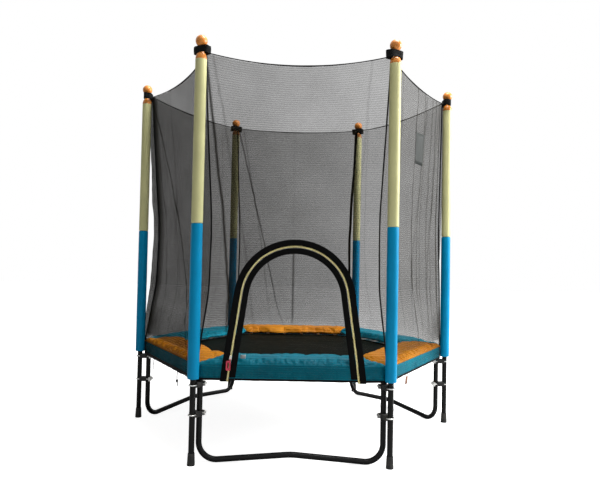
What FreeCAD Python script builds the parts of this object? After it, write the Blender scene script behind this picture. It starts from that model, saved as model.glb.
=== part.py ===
"""Hexagonal garden trampoline with six padded poles and a net enclosure with an arched zip door.

Frame: +Z up, origin on the floor below the middle of the jump mat, front door facing -Y.
Lengths are in millimetres and angles in degrees.
"""
import FreeCAD, Part
import math
import os

import Sketcher
from FreeCAD import Placement, Rotation, Vector

doc = FreeCAD.newDocument("Trampoline")
sheet = doc.addObject("Spreadsheet::Sheet", "Sizes")

# Driving sizes, each a cell of the sheet with its name as alias
SIZES = {
    # Poles and what they carry
    "pole_circle_radius": 732.0,
    "tube_diameter": 22.0,
    "tube_wall": 1.2,
    "fit_gap": 0.1,
    "pole_joint_height": 891.0,
    "spigot_length": 60.0,
    "foam_top": 1509.0,
    "foam_wall": 10.2,
    "foam_bore_clearance": 0.3,
    "foam_end_gap": 0.3,
    "foam_drop_gap": 14.0,
    "dome_height": 23.0,
    "cap_socket_depth": 15.0,
    "neck_diameter": 21.0,
    "neck_length": 23.0,
    "ball_diameter": 45.0,
    "foot_cap_height": 44.0,
    "foot_cap_wall": 1.6,
    "foot_cap_flare": 2.0,
    "foot_cap_floor": 4.0,
    # Legs
    "leg_top_gap": 4.0,
    "leg_seat": 24.0,
    "leg_bend_radius": 66.0,
    "leg_rise_angle": 4.6,
    "leg_kink_radius": 260.0,
    # Clamps that hold the poles to the legs
    "clamp_web": 19.0,
    "clamp_gap": 5.0,
    "clamp_pitch": 109.0,
    "clamp_rod": 5.0,
    "rod_side_gap": 0.5,
    "clamp_block_height": 18.0,
    "clamp_block_margin": 1.5,
    "saddle_thickness": 3.2,
    "nut_across_flats": 8.0,
    "nut_height": 4.0,
    "rod_end": 3.0,
    # Ring frame
    "rail_height": 345.0,
    "rail_corner_radius": 40.0,
    "sleeve_wall": 1.6,
    "sleeve_arm": 45.0,
    "leg_socket_wall": 1.3,
    # Jump mat, its rings and the springs
    "mat_thickness": 2.0,
    "mat_ring_inset": 8.0,
    "border_width": 14.0,
    "border_thickness": 8.0,
    "mat_corner_cut": 21.0,
    "ring_wire": 4.0,
    "ring_bend": 4.0,
    "ring_pocket_gap": 0.3,
    "ring_length": 24.0,
    "ring_base_width": 34.0,
    "ring_tip_width": 12.0,
    "ring_end_margin": 35.0,
    "springs_per_side": 6,
    "spring_room": 92.8,
    "spring_diameter": 16.0,
    "spring_wire": 2.5,
    "spring_hook_radius": 6.0,
    "spring_hook_slack": 0.25,
    "spring_tail": 14.0,
    "spring_end": 4.0,
    "spring_hole_gap": 0.55,
    # Edge pad and skirt
    "pad_overlap": 18.0,
    "pad_gap": 0.3,
    "pad_edge": 11.0,
    "pad_crown": 21.0,
    "pad_seam_crown": 13.0,
    "skirt_gap": 0.5,
    "skirt_thickness": 2.5,
    "skirt_drop": 37.0,
    "skirt_top_gap": 0.2,
    # Enclosure net
    "net_gap": 0.4,
    "net_thickness": 1.5,
    "net_drop": 28.0,
    "net_shoulder_rise": 39.0,
    "net_waist_low": 640.0,
    "net_waist_high": 900.0,
    "net_chest": 1200.0,
    "net_top_gap": 3.0,
    "net_top_rise": 7.5,
    "net_end_gap": 0.2,
    "seam_gap": 0.3,
    "waist_bow": 12.0,
    "waist_flare": 8.0,
    "chest_share": 0.5,
    "hem_gap": 1.0,
    "piping_diameter": 5.0,
    "piping_end_gap": 3.5,
    "loop_wall": 2.4,
    "loop_gap": 1.5,
    "loop_height": 22.0,
    "loop_spread": 33.0,
    # Door with its zip
    "arch_centre": 4.0,
    "arch_crown": 813.0,
    "arch_radius": 207.0,
    "arch_lean": 7.0,
    "band_width": 55.0,
    "band_thickness": 2.4,
    "chain_width": 8.0,
    "chain_thickness": 2.6,
    "door_gap": 5.0,
    "door_foot_gap": 2.0,
    "slider_rise": 75.0,
    "slider_length": 16.0,
    "slider_width": 9.0,
    "slider_thickness": 4.0,
    "slider_rounding": 1.2,
    "slider_clearance": 0.5,
    "lug_reach": 2.9,
    "lug_radius": 1.0,
    "pull_width": 17.0,
    "pull_length": 41.0,
    "pull_thickness": 1.6,
    "pull_rounding": 5.0,
    "pull_offset": 6.0,
    "pull_eye_gap": 0.3,
    "pull_eye_wall": 1.2,
    "pull_neck": 4.0,
    # Loose ends of the net's lacing cord
    "lace_diameter": 3.2,
    "knot_width": 9.0,
    "knot_height": 11.0,
    "knot_tail": 20.0,
}

for row, (alias, number) in enumerate(SIZES.items(), start=1):
    sheet.set(f"A{row}", alias)
    sheet.set(f"B{row}", str(number))
    sheet.setAlias(f"B{row}", alias)
doc.recompute()


class Dim:
    """A number together with the expression on the sheet that gives it."""

    def __init__(self, number, text):
        self.number = number
        self.text = text

    def __float__(self):
        return float(self.number)

    def __add__(self, other):
        return Dim(self.number + float(other), f"({self.text} + {text_of(other)})")

    def __sub__(self, other):
        return Dim(self.number - float(other), f"({self.text} - {text_of(other)})")

    def __mul__(self, other):
        return Dim(self.number * float(other), f"({self.text} * {text_of(other)})")

    def __truediv__(self, other):
        return Dim(self.number / float(other), f"({self.text} / {text_of(other)})")


def text_of(amount):
    return amount.text if isinstance(amount, Dim) else repr(float(amount))


class Sizes:
    """Reads the sheet: size.tube_wall is the Dim of that cell."""

    def __getattr__(self, alias):
        return Dim(sheet.get(alias), f"Sizes.{alias}")


size = Sizes()
parts = []

# Where each bay lies: the front bay is built along X at negative Y, and the others are turned copies
SIDES = 6
SIDE_ANGLE = 360.0 / SIDES
POLE_AZIMUTHS = [240.0 + SIDE_ANGLE * n for n in range(SIDES)]
HALF_SIDE = math.radians(SIDE_ANGLE / 2)

# Sizes that follow from the sheet
size.leg_circle_radius = size.pole_circle_radius - size.tube_diameter - size.clamp_web
size.foam_diameter = size.tube_diameter + (size.foam_bore_clearance + size.foam_wall) * 2
size.ball_centre_height = size.foam_top + size.dome_height + size.neck_length + size.ball_diameter / 2
size.sleeve_radius = size.tube_diameter / 2 + size.fit_gap + size.sleeve_wall
size.leg_top = size.rail_height - size.tube_diameter / 2 - size.leg_top_gap
size.socket_low = size.leg_top - size.leg_seat
size.clamp_high = size.socket_low - size.clamp_gap - size.clamp_block_height / 2
size.clamp_low = size.clamp_high - size.clamp_pitch
size.clamp_top = size.clamp_high + size.clamp_block_height / 2
size.foam_low = size.clamp_top + size.foam_drop_gap
size.corner_inset = size.rail_corner_radius * (1 - math.cos(HALF_SIDE))
size.rail_apothem = size.leg_circle_radius * math.cos(HALF_SIDE) + size.corner_inset
size.ring_tip_apothem = size.rail_apothem - size.tube_diameter / 2 - size.spring_room
size.ring_base_apothem = size.ring_tip_apothem - size.ring_length
size.mat_apothem = size.ring_base_apothem - size.mat_ring_inset
size.border_apothem = size.mat_apothem + size.border_width
size.pad_inner_apothem = size.mat_apothem - size.pad_overlap
size.pad_underside = size.rail_height + size.sleeve_radius + size.pad_gap
size.skirt_low = size.rail_height - size.skirt_drop
size.net_low = size.rail_height - size.net_drop
size.net_shoulder = size.rail_height + size.net_shoulder_rise
size.hem_low = size.clamp_top + size.hem_gap
size.door_low = size.net_low + size.door_foot_gap
size.slider_height = size.net_low + size.slider_rise
size.loop_low = size.foam_top + size.dome_height + size.loop_gap
size.net_top = size.loop_low + size.net_top_rise
size.net_top_radius = size.pole_circle_radius - size.foam_diameter / 2 - size.net_top_gap

# How the net hangs: how far each corner seam is drawn in at the waist, from the front left pole on,
# and how far each bay's top edge sags down and bows inwards
NET_PINCHES = [64.0, 59.0, 12.0, 74.0, 69.0, 51.0]
NET_SAGS = [35.0, 15.0, 25.0, 20.0, 20.0, 15.0]
NET_BOWS = [28.0, 12.0, 2.0, 8.0, 2.0, 30.0]

# How full the pad is along a bay, as share of the half bay and share of the full crown
PAD_SHOULDER = (0.72, 0.75)
PAD_MIDDLE = (0.3, 1.0)


def bind(thing, prop, amount):
    """Ties a property to the sheet."""
    thing.setExpression(prop, text_of(amount))


def register(thing, label):
    """Lists a finished sub-part under the name its file gets."""
    thing.Label = label
    parts.append(thing)
    return thing


def polar(thing, radius, azimuth):
    """Turns a thing about Z and moves it out to a radius on that azimuth."""
    thing.Placement = Placement(Vector(0, 0, 0), Rotation(Vector(0, 0, 1), azimuth))
    thing.setExpression("Placement.Base.x", f"{text_of(radius)} * cos({azimuth % 360.0})")
    thing.setExpression("Placement.Base.y", f"{text_of(radius)} * sin({azimuth % 360.0})")
    return thing


def cylinder(name, radius, low, high, x=0.0, y=0.0):
    """Upright cylinder between two heights."""
    made = doc.addObject("Part::Cylinder", name)
    bind(made, "Radius", radius)
    bind(made, "Height", high - low if isinstance(high, Dim) else Dim(high, repr(high)) - low)
    made.Placement = Placement(Vector(float(x), float(y), 0), Rotation())
    bind(made, "Placement.Base.z", low)
    return made


def cut(name, base, tool):
    made = doc.addObject("Part::Cut", name)
    made.Base = base
    made.Tool = tool
    return made


def fuse(name, shapes):
    made = doc.addObject("Part::MultiFuse", name)
    made.Shapes = shapes
    return made


def group(name, things):
    """Several separate solids that share one node."""
    made = doc.addObject("Part::Compound", name)
    made.Links = things
    return register(made, name)


def feature(name, shape, placement=None):
    """A shape made with Part's own functions from sizes read off the sheet."""
    made = doc.addObject("Part::Feature", name)
    made.Shape = shape
    made.Placement = placement if placement else Placement()
    return made


def origin_plane(body, role):
    return [item for item in body.Origin.OriginFeatures if item.Role == role][0]


def flat_sketch(body, name, role):
    sketch = body.newObject("Sketcher::SketchObject", name)
    sketch.AttachmentSupport = [(origin_plane(body, role), "")]
    sketch.MapMode = "FlatFace"
    return sketch


def pin_point(sketch, edge, end, across, up):
    """Holds a sketch point at coordinates that follow the sheet."""
    for kind, axis, amount in (("DistanceX", -2, across), ("DistanceY", -1, up)):
        if abs(float(amount)) < 1e-9:
            sketch.addConstraint(Sketcher.Constraint("PointOnObject", edge, end, axis))
        else:
            number = sketch.addConstraint(Sketcher.Constraint(kind, edge, end, float(amount)))
            sketch.setExpression(f"Constraints[{number}]", text_of(amount))


def polygon_sketch(body, name, role, corners):
    """Closed outline of straight edges, each corner held by the sheet."""
    sketch = flat_sketch(body, name, role)
    points = [Vector(float(x), float(y), 0) for x, y in corners]
    for start, end in zip(points, points[1:] + points[:1]):
        sketch.addGeometry(Part.LineSegment(start, end))
    count = len(points)
    for edge in range(count):
        sketch.addConstraint(Sketcher.Constraint("Coincident", edge, 2, (edge + 1) % count, 1))
    for edge, (x, y) in enumerate(corners):
        pin_point(sketch, edge, 1, x, y)
    return sketch


def revolved(name, corners):
    """Body turned about Z from an outline of (radius, height) corners."""
    body = doc.addObject("PartDesign::Body", name)
    sketch = polygon_sketch(body, f"{name}_outline", "XZ_Plane", corners)
    turned = body.newObject("PartDesign::Revolution", f"{name}_turned")
    turned.Profile = sketch
    turned.ReferenceAxis = (sketch, ["V_Axis"])
    turned.Angle = 360
    sketch.Visibility = False
    return body


def plan_prism(name, corners, low, high):
    """Upright body from a plan outline of (out, across) corners."""
    body = doc.addObject("PartDesign::Body", name)
    sketch = polygon_sketch(body, f"{name}_plan", "XY_Plane", corners)
    pad = body.newObject("PartDesign::Pad", f"{name}_pad")
    pad.Profile = sketch
    bind(pad, "Length", high - low)
    bind(body, "Placement.Base.z", low)
    sketch.Visibility = False
    return body


# Shared places worked out from the sheet

TUBE_RADIUS = float(size.tube_diameter) / 2
CORNER_RADIUS = float(size.rail_corner_radius)
RAIL_APOTHEM = float(size.rail_apothem)
RAIL_VERTEX = RAIL_APOTHEM / math.cos(HALF_SIDE)
CORNER_START = RAIL_VERTEX / 2 - CORNER_RADIUS * math.tan(HALF_SIDE)
SLEEVE_RADIUS = float(size.sleeve_radius)
SKIRT_INSIDE = SLEEVE_RADIUS + float(size.skirt_gap)
SKIRT_OUTSIDE = SKIRT_INSIDE + float(size.skirt_thickness)
NET_INSIDE = SKIRT_OUTSIDE + float(size.net_gap)
NET_OUTSIDE = NET_INSIDE + float(size.net_thickness)
CLAMP_LEG_OFFSET = float(size.pole_circle_radius) - float(size.leg_circle_radius)


def bay_turn(bay):
    """Placement that turns front-bay geometry into another bay."""
    return Placement(Vector(0, 0, 0), Rotation(Vector(0, 0, 1), SIDE_ANGLE * bay))


def line(*points):
    """Straight edges through points."""
    spots = [Vector(*point) for point in points]
    return [Part.LineSegment(a, b).toShape() for a, b in zip(spots, spots[1:])]


def arc(start, through, end):
    return Part.Arc(Vector(*start), Vector(*through), Vector(*end)).toShape()


def ring_reach(before, corner, after, half_turn):
    """How far from a ring's corner its bend starts."""
    return float(size.ring_bend) * math.tan(half_turn)


def cord_reach(before, corner, after, half_turn):
    """How far from a cord's corner its bend starts, just under half of its shorter run."""
    return 0.45 * min(before.distanceToPoint(corner), after.distanceToPoint(corner))


def rounded_path(points, reach):
    """Straight runs through points with an arc round each corner, and the arcs' radii."""
    edges = []
    radii = []
    here = points[0]
    for before, corner, after in zip(points, points[1:], points[2:]):
        back = (before - corner).normalize()
        onward = (after - corner).normalize()
        half_turn = (math.pi - back.getAngle(onward)) / 2
        away = reach(before, corner, after, half_turn)
        bend = away / math.tan(half_turn)
        radii.append(round(bend, 1))
        inward = (back + onward).normalize()
        middle = corner + inward * (bend / math.cos(half_turn) - bend)
        start = corner + back * away
        end = corner + onward * away
        edges += [Part.LineSegment(here, start).toShape(), Part.Arc(start, middle, end).toShape()]
        here = end
    edges.append(Part.LineSegment(here, points[-1]).toShape())
    return edges, radii


def pipe(wire, radius, start, direction):
    """Round solid swept along a wire."""
    ring = Part.Wire([Part.makeCircle(radius, Vector(*start), Vector(*direction))])
    return Part.Wire(wire).makePipeShell([ring], True, False)


# Poles, foam sleeves, caps and foot caps


def lower_pole(corner):
    """Tube with its upper end drawn in to a spigot."""
    outer = size.tube_diameter / 2
    inner = outer - size.tube_wall
    spigot = inner - size.fit_gap
    spigot_bore = spigot - size.tube_wall
    foot = size.foot_cap_floor
    shoulder = size.pole_joint_height - 1.0
    neck = size.pole_joint_height + 3.0
    top = size.pole_joint_height + size.spigot_length
    outline = [
        (inner, foot),
        (outer, foot),
        (outer, shoulder),
        (spigot, shoulder),
        (spigot, top),
        (spigot_bore, top),
        (spigot_bore, shoulder - size.tube_wall),
        (inner, shoulder - size.tube_wall * 2),
    ]
    body = revolved(f"lower_pole_{corner + 1}", outline)
    polar(body, size.pole_circle_radius, POLE_AZIMUTHS[corner])
    return register(body, f"lower_pole_{corner + 1}")


def sleeve(name, outer, inner, low, high):
    """Round tube between two heights."""
    return cut(
        name,
        cylinder(f"{name}_outside", outer, low, high),
        cylinder(f"{name}_inside", inner, low, high),
    )


def upper_poles():
    tubes = []
    cap_socket = size.foam_top + size.cap_socket_depth
    for corner in range(SIDES):
        outer = size.tube_diameter / 2
        tube = sleeve(
            f"upper_pole_{corner + 1}",
            outer,
            outer - size.tube_wall,
            size.pole_joint_height,
            cap_socket - 0.5,
        )
        tubes.append(polar(tube, size.pole_circle_radius, POLE_AZIMUTHS[corner]))
    return group("upper_poles", tubes)


def foam_sleeves(name, low, high):
    for corner in range(SIDES):
        foam = sleeve(
            f"{name}_{corner + 1}",
            size.foam_diameter / 2,
            size.tube_diameter / 2 + size.foam_bore_clearance,
            low,
            high,
        )
        polar(foam, size.pole_circle_radius, POLE_AZIMUTHS[corner])
        register(foam, f"{name}_{corner + 1}")


def pole_caps():
    """Domed collar, neck and ball in one moulding with a socket for the pole."""
    caps = []
    for corner in range(SIDES):
        tag = f"cap_{corner + 1}"
        dome = doc.addObject("Part::Ellipsoid", f"{tag}_dome")
        bind(dome, "Radius1", size.dome_height)
        bind(dome, "Radius2", size.foam_diameter / 2)
        dome.Angle1 = 0
        dome.Angle2 = 90
        bind(dome, "Placement.Base.z", size.foam_top)
        neck_low = size.foam_top + size.cap_socket_depth + 3.0
        neck = cylinder(f"{tag}_neck", size.neck_diameter / 2, neck_low, size.ball_centre_height)
        ball = doc.addObject("Part::Sphere", f"{tag}_ball")
        bind(ball, "Radius", size.ball_diameter / 2)
        bind(ball, "Placement.Base.z", size.ball_centre_height)
        socket = cylinder(
            f"{tag}_socket",
            size.tube_diameter / 2 + size.fit_gap,
            size.foam_top - 1.0,
            size.foam_top + size.cap_socket_depth,
        )
        cap = cut(tag, fuse(f"{tag}_outside", [dome, neck, ball]), socket)
        caps.append(polar(cap, size.pole_circle_radius, POLE_AZIMUTHS[corner]))
    return group("pole_caps", caps)


def foot_caps():
    """Flared rubber caps under the poles."""
    caps = []
    for corner in range(SIDES):
        tag = f"foot_{corner + 1}"
        flare = doc.addObject("Part::Cone", f"{tag}_flare")
        bore_radius = size.tube_diameter / 2 + size.fit_gap
        bind(flare, "Radius1", bore_radius + size.foot_cap_wall + size.foot_cap_flare)
        bind(flare, "Radius2", bore_radius + size.foot_cap_wall)
        bind(flare, "Height", size.foot_cap_height)
        bore = cylinder(f"{tag}_bore", bore_radius, size.foot_cap_floor, size.foot_cap_height + 1.0)
        cap = cut(tag, flare, bore)
        caps.append(polar(cap, size.pole_circle_radius, POLE_AZIMUTHS[corner]))
    return group("foot_caps", caps)


# Clamps: built round a pole at the origin whose leg stands at negative X


def along_x(thing, x, y, z):
    """Lays an upright cylinder along negative X from a point."""
    thing.Placement = Placement(Vector(float(x), float(y), float(z)), Rotation(Vector(0, 1, 0), -90))
    return thing


def clamp_placement(thing, corner, height):
    polar(thing, size.pole_circle_radius, POLE_AZIMUTHS[corner])
    bind(thing, "Placement.Base.z", height)
    return thing


def rod_spread():
    """Half the distance between the two legs of a U-bolt."""
    return float(size.tube_diameter) / 2 + float(size.rod_side_gap) + float(size.clamp_rod) / 2


def block_width():
    """Width of a clamp's block and saddle over both legs of the U-bolt."""
    return 2 * (rod_spread() + float(size.clamp_rod) / 2 + float(size.clamp_block_margin))


def clamp_plate(name, near, far):
    """Box between two distances from the pole's axis, towards the leg."""
    plate = doc.addObject("Part::Box", name)
    plate.Length = far - near
    plate.Width = block_width()
    bind(plate, "Height", size.clamp_block_height)
    corner = Vector(-far, -block_width() / 2, -float(size.clamp_block_height) / 2)
    plate.Placement = Placement(corner, Rotation())
    return plate


def saddle_far():
    """Distance from the pole's axis to the far face of the saddle plate."""
    return CLAMP_LEG_OFFSET + TUBE_RADIUS + float(size.saddle_thickness)


def rod_bore(name, side, start, length):
    bore = doc.addObject("Part::Cylinder", name)
    bind(bore, "Radius", size.clamp_rod / 2 + size.fit_gap)
    bore.Height = length
    return along_x(bore, start, side * rod_spread(), 0)


def u_bolt(tag):
    bow = doc.addObject("Part::Torus", f"{tag}_bow")
    bow.Radius1 = rod_spread()
    bind(bow, "Radius2", size.clamp_rod / 2)
    bow.Angle3 = 180
    bow.Placement = Placement(Vector(0, 0, 0), Rotation(Vector(0, 0, 1), -90))
    rods = []
    for side in (-1, 1):
        rod = doc.addObject("Part::Cylinder", f"{tag}_rod{side + 1}")
        bind(rod, "Radius", size.clamp_rod / 2)
        rod.Height = saddle_far() + float(size.nut_height) + float(size.rod_end)
        rods.append(along_x(rod, 0, side * rod_spread(), 0))
    return fuse(tag, [bow] + rods)


def spacer_block(tag):
    """Plastic block between pole and leg, hollowed to both tubes."""
    grip_share = 0.35
    near = TUBE_RADIUS * grip_share
    block = clamp_plate(f"{tag}_block", near, CLAMP_LEG_OFFSET - near)
    high = float(size.clamp_block_height)
    pole = cylinder(f"{tag}_pole", size.tube_diameter / 2 + size.fit_gap, -high, high)
    leg = cylinder(f"{tag}_leg", size.tube_diameter / 2 + size.fit_gap, -high, high, x=-CLAMP_LEG_OFFSET)
    bores = [rod_bore(f"{tag}_bore{side + 1}", side, 0, saddle_far()) for side in (-1, 1)]
    return cut(tag, block, fuse(f"{tag}_hollows", [pole, leg] + bores))


def saddle_plate(tag):
    """Steel saddle on the inner side of the leg, under the two nuts."""
    grip_share = 0.55
    plate = clamp_plate(f"{tag}_plate", CLAMP_LEG_OFFSET + TUBE_RADIUS * grip_share, saddle_far())
    high = float(size.clamp_block_height)
    leg = cylinder(f"{tag}_leg", size.tube_diameter / 2 + size.fit_gap, -high, high, x=-CLAMP_LEG_OFFSET)
    bores = [rod_bore(f"{tag}_bore{side + 1}", side, 0, saddle_far() + 1.0) for side in (-1, 1)]
    return cut(tag, plate, fuse(f"{tag}_hollows", [leg] + bores))


def clamp_nut(tag, side):
    nut = doc.addObject("Part::Prism", f"{tag}_hex")
    nut.Polygon = 6
    nut.Circumradius = float(size.nut_across_flats) / 2 / math.cos(math.radians(30))
    bind(nut, "Height", size.nut_height)
    along_x(nut, -saddle_far() - 0.05, side * rod_spread(), 0)
    bore = rod_bore(f"{tag}_bore", side, 0, saddle_far() * 2)
    return cut(tag, nut, bore)


def clamps():
    bolts, blocks, saddles, nuts = [], [], [], []
    for corner in range(SIDES):
        for level, height in enumerate((size.clamp_low, size.clamp_high)):
            tag = f"{corner + 1}_{level + 1}"
            bolts.append(clamp_placement(u_bolt(f"u_bolt_{tag}"), corner, height))
            blocks.append(clamp_placement(spacer_block(f"spacer_{tag}"), corner, height))
            saddles.append(clamp_placement(saddle_plate(f"saddle_{tag}"), corner, height))
            for side in (-1, 1):
                nuts.append(clamp_placement(clamp_nut(f"nut_{tag}_{side + 1}", side), corner, height))
    group("u_bolts", bolts)
    group("pole_spacers", blocks)
    group("clamp_saddles", saddles)
    group("u_bolt_nuts", nuts)


# Legs: one bent tube for each pair of poles


def u_leg(label, bay):
    """Tube from one corner down to the floor, across with a low rise in the middle, and up again."""
    body = doc.addObject("PartDesign::Body", label)
    section = flat_sketch(body, f"{label}_section", "XY_Plane")
    for radius in (size.tube_diameter / 2, size.tube_diameter / 2 - size.tube_wall):
        edge = section.addGeometry(Part.Circle(Vector(0, 0, 0), Vector(0, 0, 1), float(radius)))
        section.addConstraint(Sketcher.Constraint("Coincident", edge, 3, -1, 1))
        number = section.addConstraint(Sketcher.Constraint("Radius", edge, float(radius)))
        section.setExpression(f"Constraints[{number}]", text_of(radius))
    path = flat_sketch(body, f"{label}_path", "XZ_Plane")
    span = float(size.leg_circle_radius)
    bend = float(size.leg_bend_radius)
    kink = float(size.leg_kink_radius)
    rise = math.radians(float(size.leg_rise_angle))
    drop = float(size.leg_top) - TUBE_RADIUS - bend
    turn = math.radians(90) + rise
    low_end = Vector(bend + bend * math.sin(rise), -drop - bend * math.cos(rise), 0)
    kink_x = span / 2 - kink * math.sin(rise)
    kink_z = low_end.y + (kink_x - low_end.x) * math.tan(rise)
    crest = kink_z + kink * (1 - math.cos(rise))

    def bend_point(angle):
        return Vector(bend - bend * math.cos(angle), -drop - bend * math.sin(angle), 0)

    def mirrored(point):
        return Vector(span - point.x, point.y, 0)

    near = [Vector(0, 0, 0), Vector(0, -drop, 0), bend_point(turn / 2), low_end, Vector(kink_x, kink_z, 0)]
    far = [mirrored(point) for point in near]
    path.addGeometry(Part.LineSegment(near[0], near[1]))
    path.addGeometry(Part.Arc(near[1], near[2], near[3]))
    path.addGeometry(Part.LineSegment(near[3], near[4]))
    path.addGeometry(Part.Arc(near[4], Vector(span / 2, crest, 0), far[4]))
    path.addGeometry(Part.LineSegment(far[4], far[3]))
    path.addGeometry(Part.Arc(far[3], far[2], far[1]))
    path.addGeometry(Part.LineSegment(far[1], far[0]))
    tube = body.newObject("PartDesign::AdditivePipe", f"{label}_tube")
    tube.Profile = section
    tube.Spine = (path, [f"Edge{n + 1}" for n in range(7)])
    section.Visibility = False
    path.Visibility = False
    corner = POLE_AZIMUTHS[bay]
    polar(body, size.leg_circle_radius, corner)
    body.Placement = Placement(body.Placement.Base, Rotation(Vector(0, 0, 1), SIDE_ANGLE * bay))
    bind(body, "Placement.Base.z", size.leg_top)
    return register(body, label)


# Ring frame


def rail_height():
    return float(size.rail_height)


def spring_places():
    """Places along a bay of its springs, spread over the mat's edge."""
    count = int(float(size.springs_per_side))
    row = 2 * (float(size.ring_base_apothem) * math.tan(HALF_SIDE) - float(size.ring_end_margin))
    pitch = row / (count - 1)
    return [(n - (count - 1) / 2) * pitch for n in range(count)]


def frame_rails():
    """Straight tubes, drilled on the inner side for the spring hooks."""
    rails = []
    wall = float(size.tube_wall)
    hole = float(size.spring_wire) / 2 + float(size.spring_hole_gap)
    for bay in range(SIDES):
        start = Vector(-CORNER_START, -RAIL_APOTHEM, rail_height())
        rail = Part.makeCylinder(TUBE_RADIUS, 2 * CORNER_START, start, Vector(1, 0, 0))
        rail = rail.cut(Part.makeCylinder(TUBE_RADIUS - wall, 2 * CORNER_START, start, Vector(1, 0, 0)))
        for x in spring_places():
            at = Vector(x, -RAIL_APOTHEM, rail_height())
            rail = rail.cut(Part.makeCylinder(hole, TUBE_RADIUS + 2, at, Vector(0, 1, 0)))
        rails.append(feature(f"frame_rail_{bay + 1}", rail, bay_turn(bay)))
    return group("frame_rails", rails)


def bent_bar(radius):
    """Round bar round the front right corner: an arm, the bend and the other arm."""
    arm = float(size.sleeve_arm)
    centre = Vector(CORNER_START, -RAIL_APOTHEM + CORNER_RADIUS, rail_height())
    start = Vector(CORNER_START, -RAIL_APOTHEM, rail_height())
    section = Part.Face(Part.Wire([Part.makeCircle(radius, start, Vector(1, 0, 0))]))
    bend = section.revolve(centre, Vector(0, 0, 1), SIDE_ANGLE)
    near = section.extrude(Vector(-arm, 0, 0))
    far = section.extrude(Vector(arm, 0, 0))
    far.rotate(centre, Vector(0, 0, 1), SIDE_ANGLE)
    return near, bend, far


def corner_sockets():
    """Bent sleeve over two rail ends with a socket down for the leg."""
    bore = TUBE_RADIUS + float(size.fit_gap)
    low = float(size.socket_low)
    azimuth = math.radians(POLE_AZIMUTHS[1])
    radius = float(size.leg_circle_radius)
    foot = Vector(radius * math.cos(azimuth), radius * math.sin(azimuth), low)
    stub = Part.makeCylinder(bore + float(size.leg_socket_wall), rail_height() - low, foot, Vector(0, 0, 1))
    leg_room = float(size.leg_top) - low + 2.0
    leg_bore = Part.makeCylinder(bore, leg_room, foot, Vector(0, 0, 1))
    near, bend, far = bent_bar(SLEEVE_RADIUS)
    socket = near.fuse([bend, far, stub]).removeSplitter()
    for tool in list(bent_bar(bore)) + [leg_bore]:
        socket = socket.cut(tool)
    sockets = [feature(f"corner_socket_{n + 1}", socket, bay_turn(n)) for n in range(SIDES)]
    return group("corner_sockets", sockets)


# Jump mat with border, rings and springs


def hexagon(name, apothem, corner_radius, low, high):
    """Six-sided plate with its corners cut round."""
    prism = doc.addObject("Part::Prism", f"{name}_prism")
    prism.Polygon = SIDES
    prism.setExpression("Circumradius", f"{text_of(apothem)} / cos({SIDE_ANGLE / 2})")
    bind(prism, "Height", high - low)
    bind(prism, "Placement.Base.z", low)
    disc = cylinder(f"{name}_disc", corner_radius, low, high)
    plate = doc.addObject("Part::Common", name)
    plate.Base = prism
    plate.Tool = disc
    return plate


def mat_corner_reach(apothem):
    """Radius at which a hexagon's corners are cut."""
    reach = 1 / math.cos(HALF_SIDE)
    return Dim(float(apothem) * reach, f"{text_of(apothem)} / cos({SIDE_ANGLE / 2})") - size.mat_corner_cut


def jump_mat():
    low = size.rail_height - size.mat_thickness / 2
    high = size.rail_height + size.mat_thickness / 2
    plate = hexagon("jump_mat", size.mat_apothem, mat_corner_reach(size.mat_apothem), low, high)
    return register(plate, "jump_mat")


def ring_solid(x, grow):
    """Triangular wire ring with a flat tip, lying level, its wire grown by a gap for the pocket."""
    base_y = -float(size.ring_base_apothem)
    tip_y = -float(size.ring_tip_apothem)
    wide = float(size.ring_base_width) / 2
    tip = float(size.ring_tip_width) / 2
    right = [(x, base_y), (x + wide, base_y), (x + tip, tip_y)]
    left = [(x - tip, tip_y), (x - wide, base_y), (x, base_y)]
    corners = [Vector(across, y, rail_height()) for across, y in right + left]
    edges, _ = rounded_path(corners, ring_reach)
    return pipe(edges, float(size.ring_wire) / 2 + grow, tuple(corners[0]), (1, 0, 0))


def mat_border():
    """Sewn edge of the mat, with a pocket round the base of each ring."""
    low = size.rail_height - size.border_thickness / 2
    high = size.rail_height + size.border_thickness / 2
    outer = hexagon("border_outside", size.border_apothem, mat_corner_reach(size.border_apothem), low, high)
    inner = hexagon("border_inside", size.mat_apothem, mat_corner_reach(size.mat_apothem), low, high)
    band = cut("border_band", outer, inner)
    pockets = []
    for bay in range(SIDES):
        for x in spring_places():
            pocket = ring_solid(x, float(size.ring_pocket_gap))
            pocket.Placement = bay_turn(bay)
            pockets.append(pocket)
    rings = feature("ring_pockets", Part.makeCompound(pockets))
    return register(cut("mat_border", band, rings), "mat_border")


def mat_rings():
    rings = []
    for bay in range(SIDES):
        for n, x in enumerate(spring_places()):
            rings.append(feature(f"mat_ring_{bay + 1}_{n + 1}", ring_solid(x, 0.0), bay_turn(bay)))
    return group("mat_rings", rings)


def spring_solid(x):
    """Hook round the ring's tip, the coil's outer shape, and a tail into the rail's hole."""
    z = rail_height()
    wire = float(size.spring_wire) / 2
    hook = float(size.spring_hook_radius)
    slack = float(size.ring_wire) / 2 + float(size.spring_hook_slack)
    hook_y = -float(size.ring_tip_apothem) - hook + wire + slack
    coil_from = hook_y - hook
    tail = float(size.spring_tail)
    rail_face = -RAIL_APOTHEM + TUBE_RADIUS
    coil_to = rail_face + tail
    eye = Part.makeTorus(hook, wire, Vector(x, hook_y, z), Vector(1, 0, 0))
    coil_radius = float(size.spring_diameter) / 2
    coil = Part.makeCylinder(coil_radius, coil_from - coil_to, Vector(x, coil_to, z), Vector(0, 1, 0))
    reach = tail + float(size.tube_wall) + float(size.spring_end)
    end = Part.makeCylinder(wire, reach, Vector(x, coil_to, z), Vector(0, -1, 0))
    return eye.fuse([coil, end])


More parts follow.
